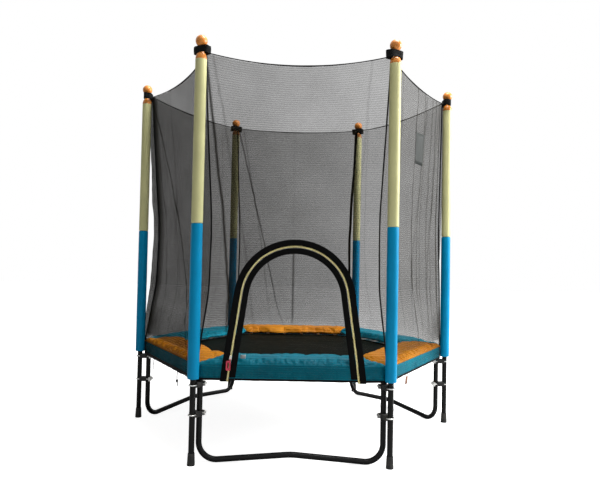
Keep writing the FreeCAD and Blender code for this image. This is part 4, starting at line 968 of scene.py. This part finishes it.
def seam_tape(corner, name, width, sway, shift=0.0):
    """Tape folded round a corner of the net, a little out of line all the way down."""
    low, high = 0.306, 1.536
    heights = np.linspace(low, high, 150)
    across = np.array([-1, -0.8, -0.35, 0, 0.35, 0.8, 1]) * width / 2
    radius = corner_radius(corner, np.clip(heights, NET_LOW, NET_HIGH))
    line = corner_line(corner, heights)
    drift = shift + sway * ripple(line, 0.16, 1.3) + sway * 0.5 * ripple(line, 0.05, 5.3)
    narrow = 1 - 0.25 * np.abs(ripple(line, 0.12, 9.1))
    t = drift[:, None] + across[None, :] * narrow[:, None]
    r = radius[:, None] + 0.0012 - np.abs(t) * 0.5 + 0.0008 * np.cos(across / width * math.pi)[None, :]
    tape = cloth_grid(name, beside_corner(corner, r, t, heights))
    modify(tape, "SOLIDIFY", thickness=TAPE_THICKNESS, offset=0)
    dress(tape, webbing, "frame")


# Width of each corner's tape, and how far it sways out of line
SEAM_TAPES = [
    (0.0076, 0.0008), (0.0076, 0.0008), (0.0076, 0.001), (0.016, 0.003), (0.0076, 0.001), (0.012, 0.002),
]
for corner, (width, sway) in enumerate(SEAM_TAPES):
    seam_tape(corner, f"seam_tape_{CORNER_NAMES[corner]}", width, sway)
seam_tape(5, "net_bunch_left", 0.0085, 0.003, 0.017)
seam_tape(2, "net_bunch_right", 0.0085, 0.003, -0.015)


def net_gather(corner, name, spans, reaches, cover):
    """Slack net that stands out of a corner seam in soft upright folds, towards its pole."""
    heights = np.linspace(spans[0], spans[-1], 140)
    out = np.linspace(0, 1, 17)
    reach = np.interp(heights, spans, reaches)
    line = corner_line(corner, heights)
    sway = 1 + 0.16 * ripple(line, 0.13, 4.4) + 0.08 * ripple(line, 0.045, 8.8)
    lean = 0.9 * ripple(line, 0.17, 2.9)
    r = corner_radius(corner, heights)[:, None] + 0.0016 + (reach * sway)[:, None] * out[None, :]
    t = 0.16 * reach[:, None] * np.sin(out[None, :] * 9.4 + lean[:, None]) * np.sqrt(out)[None, :]
    points = beside_corner(corner, r, t, heights)
    thread_and_painted_light = cover - 0.05 * np.cos(out * 18.8)[None, :] + 0.04 * ripple(points, 0.03, 6.1)
    gather = cloth_grid(name, points, cover=thread_and_painted_light)
    dress(gather, net_cloth, "frame")


# Heights down the corner, and how far the net stands out at each
LEFT_GATHER = [0.33, 0.40, 0.60, 1.10, 1.44, 1.53], [0.002, 0.014, 0.024, 0.024, 0.015, 0.006]
RIGHT_GATHER = [0.78, 0.90, 1.30, 1.53], [0.002, 0.009, 0.010, 0.005]
# The left gather is drawn almost solid, partly as painted shade at the shaded left pole
net_gather(5, "net_gather_left", *LEFT_GATHER, 0.985)
net_gather(2, "net_gather_right", *RIGHT_GATHER, 0.78)


def top_piping(bay):
    """Bound top edge of a bay: a soft roll, thicker where the cloth is turned over."""
    s = np.linspace(-0.987, 0.987, 25)
    points = hung_points(bay, s, NET_HIGH)
    points[..., 2] += 0.0027
    points = turned(points, 60 * bay)
    full = 0.85 + 0.35 * hump(s - 0.05, 0.35) + 0.12 * ripple(points, 0.06, 2.2)
    roll = as_mesh(tube_along(f"net_top_piping_{BAY_NAMES[bay]}", points, 0.0024, taper=full))
    soften(roll, 60)
    dress(roll, webbing, "frame", ["net_top_piping"])


def net_hem(bay):
    """Tape sewn along the foot of a bay's net, puckered by its lacing."""
    s, z = np.meshgrid(np.linspace(-1, 1, 121), [HEM_LOW, 0.3045, 0.3075, 0.3105, 0.3135, HEM_HIGH])
    points = hung_points(bay, s, np.full_like(s, NET_LOW))
    tucked = 0 if bay == 5 else 0.0065
    points[..., 2] = z + tucked * (HEM_HIGH - z) / HEM_DEPTH
    pucker = ripple(np.stack([s * 0.34, z * 0.3, s * 0 + bay], -1), 0.022, 4.4)
    wander = ripple(np.stack([s * 0.34, s * 0, s * 0 + bay], -1), 0.05, 8.1)
    low_share = (HEM_HIGH - z) / HEM_DEPTH
    held = 1 - np.abs(s) ** 10
    points[..., 1] += (0.0002 + 0.0006 * pucker * low_share) * held
    points[..., 2] += 0.0022 * wander * low_share * held
    hem = cloth_grid(f"net_hem_{BAY_NAMES[bay]}", turned(points, 60 * bay))
    modify(hem, "SOLIDIFY", thickness=TAPE_THICKNESS, offset=0)
    dress(hem, webbing, "frame", ["net_hem"])


for bay in range(6):
    top_piping(bay)
    net_hem(bay)


# Webbing straps that carry the net's corners on the caps' necks

STRAP_LOW, STRAP_WIDTH = 1.5315, 0.026
# Half its depth and width in plan, and how far its middle lies inside the pole's axis
STRAP_DEEP, STRAP_WIDE, STRAP_INSET = 0.0177, 0.0320, 0.0055


def strap_plan():
    """Outline of a corner strap seen from above, the pole at the origin and outwards along X."""
    turn = np.linspace(0, math.tau, 49)[:-1]
    square = (np.cos(turn) ** 4 + np.sin(turn) ** 4) ** -0.25
    out = STRAP_DEEP * np.cos(turn) * square - STRAP_INSET
    return np.stack([out, STRAP_WIDE * np.sin(turn) * square], -1)


def corner_strap(corner):
    """Webbing loop round the neck of a pole's cap, creased and sagging where it is loose."""
    plan = strap_plan()
    heights = np.array([0, 0.0012, 0.004, 0.008, 0.013, 0.018, 0.022, 0.0248, STRAP_WIDTH])
    ring = np.arange(len(plan)) / len(plan) * math.tau
    away = np.hypot(plan[:, 0], plan[:, 1])
    loose = ramp(away, 0.016, 0.02)
    points = np.zeros((len(heights), len(plan), 3))
    for row, height in enumerate(heights):
        places = np.stack([plan[:, 0], plan[:, 1], plan[:, 0] * 0 + height * 0.6 + corner], -1)
        grow = 1 + 0.10 * ripple(places, 0.014, 2.0) * loose
        points[row, :, 0] = plan[:, 0] * grow
        points[row, :, 1] = plan[:, 1] * grow
        sag = -0.0030 * loose * (1 - height / STRAP_WIDTH) + 0.0012 * np.sin(ring * 3 + corner) * loose
        points[row, :, 2] = STRAP_LOW + height + sag
    points[..., 0] += POLE_CIRCLE
    strap = cloth_grid(f"corner_strap_{CORNER_NAMES[corner]}", turned(points, POLES[corner]), round_it=True)
    modify(strap, "SOLIDIFY", thickness=0.0020, offset=0)
    modify(strap, "BEVEL", width=0.0005, segments=2, limit_method="ANGLE")
    soften(strap, 50)
    dress(strap, webbing, "frame", ["net_loops"])


for corner in range(6):
    corner_strap(corner)


# Door: its bands and its zip

# Share of the way round the door that each straight leg takes
LEG_SHARE = 0.26
# Length of the zip along its line
ZIP_LENGTH = 1.4


def arch_place(grow, share, low):
    """Place (x, z) on a line round the door, a distance outside the zip, at a share of its way from left."""
    radius = ARCH_RADIUS + grow
    hub = ARCH_CROWN - ARCH_RADIUS
    shoulder = hub + radius * math.sin(ARCH_LEAN)
    side = radius * math.cos(ARCH_LEAN)
    share = np.asarray(share, float)
    from_foot = np.minimum(share, 1 - share) / LEG_SHARE
    z_leg = low + (shoulder - low) * np.clip(from_foot, 0, 1)
    x_leg = side + (shoulder - z_leg) * math.tan(ARCH_LEAN)
    turn = ramp(share, LEG_SHARE, 1 - 2 * LEG_SHARE) * (math.pi - 2 * ARCH_LEAN) + ARCH_LEAN
    x_arc, z_arc = -radius * np.cos(turn), hub + radius * np.sin(turn)
    on_leg = from_foot < 1
    side_sign = np.where(share < 0.5, -1, 1)
    x = np.where(on_leg, side_sign * x_leg, x_arc)
    return ARCH_CENTRE + x, np.where(on_leg, z_leg, z_arc)


def zip_points(grow, share, low, out):
    """Points on the front net round the door, grow and share given for each point."""
    grow, share = np.broadcast_arrays(grow, share)
    x = np.zeros(grow.shape)
    z = np.zeros(grow.shape)
    for value in np.unique(grow):
        at = grow == value
        x[at], z[at] = arch_place(value, share[at], low)
    points, _ = net_surface(0, front_place(x, z), z, 0)
    points[..., 1] -= out
    return points


def zip_waver(share):
    """How the zip wanders in its bands."""
    share = np.asarray(share, float)
    line = np.stack([share * ZIP_LENGTH, share * 0, share * 0], -1)
    return 0.0011 * ripple(line, 0.10, 6.0) + 0.0005 * ripple(line, 0.035, 2.0)


def door_strip(name, inner, outer, low, seed, body, replaces):
    """Padded tape round the door between two lines, crowned across its width."""
    across = np.linspace(0, 1, BAND_COLUMNS)
    grow, share = np.meshgrid(inner + (outer - inner) * across, np.linspace(0, 1, 221))
    swell = BAND_CROWN * np.sin(across * math.pi) ** 0.6
    puff = ripple(np.stack([share * ZIP_LENGTH, grow, grow * 0], -1), 0.055, seed)
    points = zip_points(grow, share, low, 0.0)
    points[..., 1] -= swell[None, :] * (0.85 + 0.5 * puff)
    strip = cloth_grid(name, points)
    modify(strip, "SOLIDIFY", thickness=BAND_THICKNESS, offset=0)
    modify(strip, "BEVEL", width=BAND_THICKNESS * 0.3, segments=2, limit_method="ANGLE")
    soften(strip, 50)
    dress(strip, band_cloth, body, replaces)


door_strip("zip_band_shown", 0.0036, 0.0278, ZIP_FOOT, 3.0, "frame", ["zip_band"])
door_strip("door_band_shown", -0.0278, -0.0046, DOOR_FOOT, 5.0, "door", ["door_band"])


# The zip's teeth: how many, and each one's width, depth and height
TEETH = 560
TOOTH_SIZE = (0.0048, 0.0013, 0.0020)
# Inset and rise of a tooth's head
TOOTH_INSET, TOOTH_HEAD = 0.0004, 0.0003
# How far to the side of the zip's line and out from the net it sits, and the share that tells its direction
TOOTH_SIDE, TOOTH_OUT, TOOTH_AHEAD = 0.0013, 0.0009, 0.0008


def zip_tooth():
    """One moulded tooth at the origin: a rounded bar with a head."""
    bpy.ops.mesh.primitive_cube_add(size=1, location=(0, 0, 0))
    tooth = started("zip_tooth")
    activate(tooth)
    bpy.ops.transform.resize(value=TOOTH_SIZE, center_override=(0, 0, 0))
    settle(tooth)
    open_mesh(tooth)
    choose(tooth, "faces", lambda face: face.normal.y < -0.9)
    bpy.ops.mesh.inset(thickness=TOOTH_INSET)
    bpy.ops.transform.translate(value=(0, -TOOTH_HEAD, 0))
    close_mesh()
    return tooth


def zip_tape():
    """Tape under the zip's teeth."""
    grow, share = np.meshgrid([-0.0040, -0.0034, 0, 0.0034, 0.0040], np.linspace(0, 1, 241))
    tape = cloth_grid("zip_tape", zip_points(grow, share, ZIP_FOOT, -0.0002))
    modify(tape, "SOLIDIFY", thickness=0.0008, offset=0)
    dress(tape, webbing, "frame")


def zip_chain():
    """Rows of teeth either side of the zip's line, in one piece."""
    tooth = zip_tooth()
    shape = np.array([v.co for v in tooth.data.vertices])
    faces = [list(face.vertices) for face in tooth.data.polygons]
    bpy.data.objects.remove(tooth)
    middle = np.linspace(0.001, 0.999, TEETH)
    beside = zip_waver(middle) + TOOTH_SIDE * np.where(np.arange(TEETH) % 2, 1.0, -1.0)

    def places(shares):
        return np.array([zip_points(grow, share, ZIP_FOOT, TOOTH_OUT) for grow, share in zip(beside, shares)])

    at, ahead = places(middle), places(middle + TOOTH_AHEAD)
    points, corners = [], []
    for n in range(TEETH):
        along = Vector(ahead[n] - at[n]).normalized()
        out = Vector((0, -1, 0))
        out = (out - along * out.dot(along)).normalized()
        turn = np.array([along.cross(out), -out, along]).T
        corners += [[index + len(points) for index in face] for face in faces]
        points += (shape @ turn.T + at[n]).tolist()
    mesh = bpy.data.meshes.new("zip_teeth")
    mesh.from_pydata(points, [], corners)
    teeth = bpy.data.objects.new("zip_teeth", mesh)
    bpy.context.scene.collection.objects.link(teeth)
    open_whole(teeth)
    bpy.ops.mesh.normals_make_consistent(inside=False)
    close_mesh()
    dress(teeth, zip_gold, "frame", ["zip_chain"])


zip_tape()
zip_chain()


# Edge pads and their skirt

PAD_FORMS = 3
PAD_LENGTH_CUTS, PAD_ROUND_CUTS = 121, 49
# Width of the seams that stay in place while the covers swell, and the furthest that a cover moves
SEAM_WIDTH, MOST_PUFF = 0.006, 0.009
CLOTH_FRAMES = 20
COVER_CLOTH = {
    "quality": 6, "mass": 0.2, "tension_stiffness": 20, "compression_stiffness": 20, "shear_stiffness": 8,
    "bending_stiffness": 0.15, "shrink_min": -0.07, "use_pressure": True, "uniform_pressure_force": 4,
}


def pad_form(form):
    """Pad in the front bay's place: two covers over a foam sheet, thin at its ends and its inner edge."""
    along_cuts, round_cuts = np.linspace(-1, 1, PAD_LENGTH_CUTS), np.linspace(0, 1, PAD_ROUND_CUTS)[:-1]
    s, q = np.meshgrid(along_cuts, round_cuts, indexing="ij")
    share = 1 - np.abs(q / 0.5 - 1)
    above = q < 0.5
    from_end = 1 - np.abs(s)
    crown = PAD_SEAM + (PAD_CROWN - PAD_SEAM) * (0.35 + 0.65 * quarter_wave(from_end, 0.10))
    edge = PAD_LOW + 0.0055
    top_lift = quarter_wave(share, 0.10) * quarter_wave(1 - share, 0.12)
    low_lift = quarter_wave(share, 0.02) * quarter_wave(1 - share, 0.05)
    out = PAD_OUTER + (PAD_INNER - PAD_OUTER) * share
    along = s * (out * TAN30 - 0.0002)
    height = np.where(above, edge + (crown - edge) * top_lift, edge - 0.0052 * low_lift)
    points = np.stack([along, -out, height], -1)
    ends = ramp(from_end, 0, 0.05)
    inner = hump(share - 1, 0.35)
    flat = np.stack([points[..., 0], points[..., 1], points[..., 0] * 0 + form * 3.7], -1)
    points[..., 1] -= 0.015 * ripple(flat * (1, 0.2, 1), 0.085, 0.3) * inner * ends
    top = np.where(above, np.clip(np.minimum(q / 0.06, (0.5 - q) / 0.04), 0, 1), 0)
    crease = np.abs(ripple(flat * (1, 0.45, 1), 0.040, 1.7))
    puff = 0.0038 * ripple(flat, 0.10, 9.0) + 0.0016 - 0.0030 * hump(crease, 0.10)
    points[..., 2] = np.clip(points[..., 2] + puff * top * ends, PAD_LOW + 0.0002, PAD_LIMIT)
    return points


def close_pad_ends(pad):
    """Closes the two open ends of a pad's covers."""
    open_mesh(pad, "EDGE")
    bpy.ops.mesh.select_all(action="SELECT")
    bpy.ops.mesh.fill_holes(sides=0)
    bpy.ops.mesh.normals_make_consistent(inside=False)
    close_mesh()


def mesh_points(piece):
    """Vertices of a piece, one row each."""
    points = np.empty(len(piece.data.vertices) * 3)
    piece.data.vertices.foreach_get("co", points)
    return points.reshape(-1, 3)


def puff_up(pad):
    """Lets the covers swell and crease between their seams, as cloth a little larger than its filling."""
    modify(pad, "REMESH", mode="VOXEL", voxel_size=0.0045)
    before = mesh_points(pad)
    out, along = -before[:, 1], np.abs(before[:, 0])
    at_end = along > out * TAN30 - SEAM_WIDTH
    held = pad.vertex_groups.new(name="seams")
    held.add(np.nonzero((out > PAD_OUTER - SEAM_WIDTH) | at_end)[0].tolist(), 1.0, "REPLACE")
    activate(pad)
    cloth = pad.modifiers.new("covers", "CLOTH")
    for name, value in COVER_CLOTH.items():
        setattr(cloth.settings, name, value)
    cloth.settings.effector_weights.gravity = 0
    cloth.settings.vertex_group_mass = held.name
    cloth.point_cache.frame_start = 1
    cloth.point_cache.frame_end = CLOTH_FRAMES
    for frame_number in range(1, CLOTH_FRAMES + 1):
        bpy.context.scene.frame_set(frame_number)
    bpy.ops.object.modifier_apply(modifier=cloth.name)
    bpy.context.scene.frame_set(1)
    pad.vertex_groups.clear()
    moved = mesh_points(pad) - before
    far = np.linalg.norm(moved, axis=1)
    moved *= (np.minimum(far, MOST_PUFF) / np.maximum(far, 1e-9))[:, None]
    points = before + moved
    points[:, 1] = np.maximum(points[:, 1], -PAD_OUTER - 0.004)
    points[:, 2] = np.clip(points[:, 2], PAD_LOW + 0.0002, PAD_LIMIT)
    pad.data.vertices.foreach_set("co", points.ravel())
    pad.data.update()


def pad_pattern(form):
    """One pad to copy from, puffed up and smooth."""
    pad = cloth_grid(f"pad_form_{form}", pad_form(form), round_it=True)
    close_pad_ends(pad)
    puff_up(pad)
    modify(pad, "SUBSURF", levels=1, render_levels=1)
    soften(pad, 60)
    return pad


def edge_pad(bay, pattern, material):
    pad = twin(pattern, f"pad_{BAY_NAMES[bay]}", 60 * bay)
    dress(pad, material, "frame", [f"pad_segment_{bay + 1}"])


pad_patterns = [pad_pattern(form) for form in range(PAD_FORMS)]
for bay in range(6):
    cloth, slot = (orange_cloth, "pad_orange") if bay % 2 else (teal_cloth, "pad_teal")
    edge_pad(bay, pad_patterns[bay % PAD_FORMS], cloth)
for pattern in pad_patterns:
    bpy.data.objects.remove(pattern)


SKIRT_HEIGHTS = [
    0.3085, 0.3095, 0.3115, 0.314, 0.318, 0.323, 0.329, 0.335, 0.341, 0.347, 0.352, 0.3575, 0.3625,
]
SKIRT_OUT = 0.01445
# Room that the skirt keeps round the rail, and its deepest fold
RAIL_ROOM, SKIRT_FOLD = 0.0127, 0.007


def skirt():
    """Valance that hangs from the pads' outer edge over the rail, in soft folds."""
    rows = []
    for height in SKIRT_HEIGHTS:
        loop = []
        for bay in range(6):
            s = np.linspace(-1, 1, 101)[:-1]
            points = net_rows(bay, s)[0]
            points[:, 1] += NET_OUT - SKIRT_OUT
            points[:, 2] = height
            loop.append(turned(points, 60 * bay))
        rows.append(np.concatenate(loop))
    points = np.array(rows)
    hang = ramp(-points[..., 2], -0.3578, 0.05)
    drape = 1.2 * ripple(points * (1, 1, 0.7), 0.045, 4.0) + 0.5 * ripple(points * (1, 1, 0.5), 0.014, 2.0)
    reach = np.hypot(points[..., 0], points[..., 1])
    rail = np.sqrt(np.clip(RAIL_ROOM ** 2 - (points[..., 2] - RAIL_HEIGHT) ** 2, 0, None))
    depth = np.minimum(SKIRT_FOLD, 0.0134 - rail)
    move = 1 - depth * np.clip(drape + 0.15, 0, 1) * np.sin(hang * math.pi) ** 0.7 / reach
    points[..., 0] *= move
    points[..., 1] *= move
    points[..., 2] += 0.0018 * ripple(points * (1, 1, 0), 0.06, 3.0) * hang
    valance = cloth_grid("pad_skirt_shown", points, round_it=True)
    modify(valance, "SOLIDIFY", thickness=TAPE_THICKNESS, offset=0)
    dress(valance, teal_cloth, "frame", ["pad_skirt"])


skirt()


# Labels, all blank


def small_label(name, points, material):
    """Blank piece of ribbon through a grid of points."""
    label = cloth_grid(name, points)
    modify(label, "SOLIDIFY", thickness=0.0005, offset=0)
    dress(label, material)


def net_label():
    """Label on the net of the right front bay."""
    s, heights = np.meshgrid(np.linspace(0.03, 0.335, 9), np.linspace(1.200, 1.345, 9))
    points, _ = net_surface(1, s, heights, 0.0012)
    small_label("net_label", points, label_grey)


def pad_label():
    """Small tab on the front pad, standing up from its cover."""
    pad = bpy.data.objects["pad_front"]
    _, foot, _, _ = pad.ray_cast(Vector((-0.187, -0.598, 1)), Vector((0, 0, -1)))
    across, up = np.meshgrid(np.linspace(-1, 1, 7), np.linspace(0, 1, 6))
    x = foot.x + 0.010 * across
    y = foot.y + 0.004 * up ** 2 + 0.0015 * across ** 2
    points = np.stack([x, y, foot.z - 0.001 + 0.0155 * up], -1)
    small_label("pad_label", points, label_white)


def hem_label():
    """Folded tab that hangs from the hem of the right front bay."""
    s, down = np.meshgrid(np.linspace(-0.475, -0.395, 7), np.linspace(0, 1, 7))
    points = hung_points(1, s, np.full_like(s, NET_LOW))
    points[..., 1] -= 0.0018 - 0.004 * down ** 2
    points[..., 2] = 0.303 - 0.034 * down
    points[..., 0] += 0.003 * down ** 2
    small_label("hem_label", turned(points, 60), label_brown)


net_label()
pad_label()
hem_label()


# Jump mat, its border, and the springs

# How far the mat goes in under its border, and how deep its middle sags
MAT_TUCK, MAT_SAG = 0.004, 0.006
# Half the border's thickness
BORDER_HALF = 0.004


def jump_mat():
    """Six-sided woven mat, cut from a fine grid, with a slight sag."""
    middle = (0, 0, RAIL_HEIGHT)
    bpy.ops.mesh.primitive_grid_add(x_subdivisions=60, y_subdivisions=60, size=1.16, location=middle)
    mat = started("jump_mat_shown")
    settle(mat)
    bpy.ops.object.mode_set(mode="EDIT")
    reach = MAT_OUT / COS30 - CORNER_CUT
    for n in range(6):
        for azimuth, out in ((60 * n + 90, MAT_OUT + MAT_TUCK), (60 * n, reach + MAT_TUCK)):
            bpy.ops.mesh.select_all(action="SELECT")
            side = polar(out, azimuth, 0)
            bpy.ops.mesh.bisect(plane_co=side, plane_no=polar(1, azimuth, 0), clear_outer=True)
    close_mesh()
    for spot in mat.data.vertices:
        x, y, _ = spot.co
        spread = max(0, 1 - math.hypot(x, y) / 0.47)
        wave = 0.0012 * noise.noise(Vector((x * 9, y * 9, 0)))
        spot.co.z -= MAT_SAG * spread ** 0.8 + wave * spread
    mat.data.polygons.foreach_set("use_smooth", [True] * len(mat.data.polygons))
    modify(mat, "SOLIDIFY", thickness=0.0014, offset=0)
    dress(mat, mat_cloth, "mat", ["jump_mat"])


def border_outline(out):
    """Corner points of the mat's outline at a distance from its middle, two at each cut corner."""
    reach = out / COS30 - CORNER_CUT
    half = (out - reach * COS30) / math.sin(math.radians(30))
    spots = []
    for azimuth in range(0, 360, 60):
        angle = math.radians(azimuth)
        sideways = Vector((-math.sin(angle), math.cos(angle), 0))
        spots += [polar(reach, azimuth, 0) + side * half * sideways for side in (-1, 1)]
    return spots


def mat_border():
    """Folded webbing sewn round the mat's edge, rounded over."""
    inner, outer = border_outline(MAT_OUT), border_outline(BORDER_OUT)
    section = []
    for n in range(20):
        a = n / 20 * math.tau
        bulge = (abs(math.cos(a)) ** 4 + abs(math.sin(a)) ** 4) ** -0.25
        section.append((0.5 + 0.5 * math.cos(a) * bulge, BORDER_HALF * math.sin(a) * bulge))
    rows = []
    for n in range(12):
        a, b = (inner[n], outer[n]), (inner[(n + 1) % 12], outer[(n + 1) % 12])
        steps = 46 if n % 2 else 4
        for k in range(steps):
            share = k / steps
            near, far = a[0].lerp(b[0], share), a[1].lerp(b[1], share)
            rows.append([(*near.lerp(far, across).xy, RAIL_HEIGHT + up) for across, up in section])
    points = np.array(rows)
    points[..., 2] += 0.0007 * ripple(points, 0.025, 2.0)
    points = np.swapaxes(points, 0, 1)
    points = np.concatenate([points, points[:1]], 0)
    border = cloth_grid("mat_border_shown", points, round_it=True)
    open_whole(border)
    bpy.ops.mesh.remove_doubles(threshold=0.00001)
    bpy.ops.mesh.normals_make_consistent(inside=False)
    close_mesh()
    soften(border, 50)
    dress(border, webbing, "mat", ["mat_border"])


jump_mat()
mat_border()


# Inner end of a spring's coil, and the radius of its hook
COIL_END, HOOK_RADIUS = -0.5085, 0.006


def spring_line():
    """Centre line of a spring in mid front bay: tail in the rail, close coil, hook round the ring."""
    rail_face = -(RAIL_OUT - 0.011)
    coil_from = rail_face + 0.014
    line = [(0, rail_face + y, RAIL_HEIGHT) for y in (-0.005, 0.003, 0.010)]
    per_turn = 12
    steps = SPRING_TURNS * per_turn
    for n in range(steps + 1):
        a = n / per_turn * math.tau
        swell = min(1, n / per_turn * 2 + 0.15, (steps - n) / per_turn * 2 + 0.15)
        y = coil_from + (COIL_END - coil_from) * n / steps
        line.append((COIL_RADIUS * swell * math.sin(a), y, RAIL_HEIGHT + COIL_RADIUS * swell * math.cos(a)))
    centre = COIL_END + HOOK_RADIUS
    for n in range(15):
        a = math.pi + n / 14 * math.radians(285)
        line.append((0, centre + HOOK_RADIUS * math.cos(a), RAIL_HEIGHT + HOOK_RADIUS * math.sin(a)))
    return line


def spring_row(bay):
    """Six springs of one bay, as one piece."""
    first = as_mesh(tube_along("spring", spring_line(), SPRING_WIRE, sides=1))
    first.data.transform(Matrix.Translation((-2.5 * SPRING_PITCH, 0, 0)))
    made = [first] + [twin(first, f"spring_{n}", 0, (n * SPRING_PITCH, 0, 0)) for n in range(1, 6)]
    deselect()
    for spring in made:
        spring.select_set(True)
    bpy.context.view_layer.objects.active = first
    bpy.ops.object.join()
    row = started(f"springs_{BAY_NAMES[bay]}")
    row.data.transform(Matrix.Rotation(math.radians(60 * bay), 4, "Z"))
    row.data.polygons.foreach_set("use_smooth", [True] * len(row.data.polygons))
    dress(row, zinc, None, ["springs"])
    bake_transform(row)


for bay in range(6):
    spring_row(bay)


# Metal, paint and rubber parts that keep the CAD model's shape

FINISHES = {
    "upper_poles": tube_black, "u_leg_front": tube_black, "u_leg_right": tube_black, "u_leg_left": tube_black,
    "frame_rails": tube_black, "corner_sockets": tube_black, "foot_caps": rubber, "pole_spacers": rubber,
    "u_bolts": zinc, "clamp_saddles": zinc, "u_bolt_nuts": zinc, "mat_rings": zinc,
    "zip_slider": slider_metal, "zip_pull": pull_red,
}
FINISHES.update({f"lower_pole_{n + 1}": tube_black for n in range(6)})
for node, material in FINISHES.items():
    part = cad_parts[node]
    part.data.materials.clear()
    part.data.materials.append(material)


# Floor, world and lamps

# How white the floor is, and how much it glows for the camera so that it is seen as white
FLOOR_TONE, FLOOR_GLOW = 0.60, 0.90
# Strength of the world as light; the camera, glass and mirrors see it at 1
WORLD_LIGHT = 0.13
# Name, place, size and power of each lamp, which all point at LAMPS_AT
LAMPS = [
    ("lamp_right", (4.0, 0.1, 2.1), 1.6, 265),
    ("lamp_above", (0.9, -0.5, 4.2), 2.2, 220),
    ("lamp_front", (0.8, -4.4, 2.0), 2.5, 10),
]
LAMPS_AT = Vector((0, 0, 0.8))


def white_floor():
    """Floor that is white to the camera and plain to everything else."""
    bpy.ops.mesh.primitive_plane_add(size=30, location=(0, 0, 0))
    floor = started("floor")
    f = Finish("floor", (FLOOR_TONE, FLOOR_TONE, FLOOR_TONE), 0.85)
    path = f.add("LightPath").node.outputs
    glow = f.math("MULTIPLY", path["Is Camera Ray"], FLOOR_GLOW)
    lift = f.add("Emission", {"Color": (1, 1, 1, 1), "Strength": glow})
    whole = f.add("AddShader", {}).node
    f.tree.links.new(f.shader.outputs[0], whole.inputs[0])
    f.tree.links.new(lift, whole.inputs[1])
    out = next(node for node in f.tree.nodes if node.type == "OUTPUT_MATERIAL")
    f.tree.links.new(whole.outputs[0], out.inputs["Surface"])
    floor.data.materials.append(f.material)


def white_world():
    """World that is seen as white and lights the object softly."""
    world = bpy.data.worlds.new("studio")
    bpy.context.scene.world = world
    world.use_nodes = True
    tree = world.node_tree
    path = tree.nodes.new("ShaderNodeLightPath")
    seen = path.outputs["Is Camera Ray"]
    for other in ("Is Transmission Ray", "Is Glossy Ray"):
        either = tree.nodes.new("ShaderNodeMath")
        either.operation = "MAXIMUM"
        tree.links.new(seen, either.inputs[0])
        tree.links.new(path.outputs[other], either.inputs[1])
        seen = either.outputs[0]
    bright = tree.nodes.new("ShaderNodeMapRange")
    bright.inputs["To Min"].default_value = WORLD_LIGHT
    bright.inputs["To Max"].default_value = 1.0
    tree.links.new(seen, bright.inputs["Value"])
    back = tree.nodes["Background"]
    back.inputs["Color"].default_value = (1, 1, 1, 1)
    tree.links.new(bright.outputs[0], back.inputs["Strength"])


def lamp(name, place, size, power):
    """Round lamp that points at the trampoline."""
    data = bpy.data.lights.new(name, "AREA")
    data.shape = "DISK"
    data.size = size
    data.energy = power
    made = bpy.data.objects.new(name, data)
    bpy.context.scene.collection.objects.link(made)
    aim = (LAMPS_AT - Vector(place)).to_track_quat("-Z", "Y").to_matrix().to_4x4()
    made.matrix_world = Matrix.Translation(place) @ aim


white_floor()
white_world()
for values in LAMPS:
    lamp(*values)
bpy.context.scene.view_settings.view_transform = "Standard"
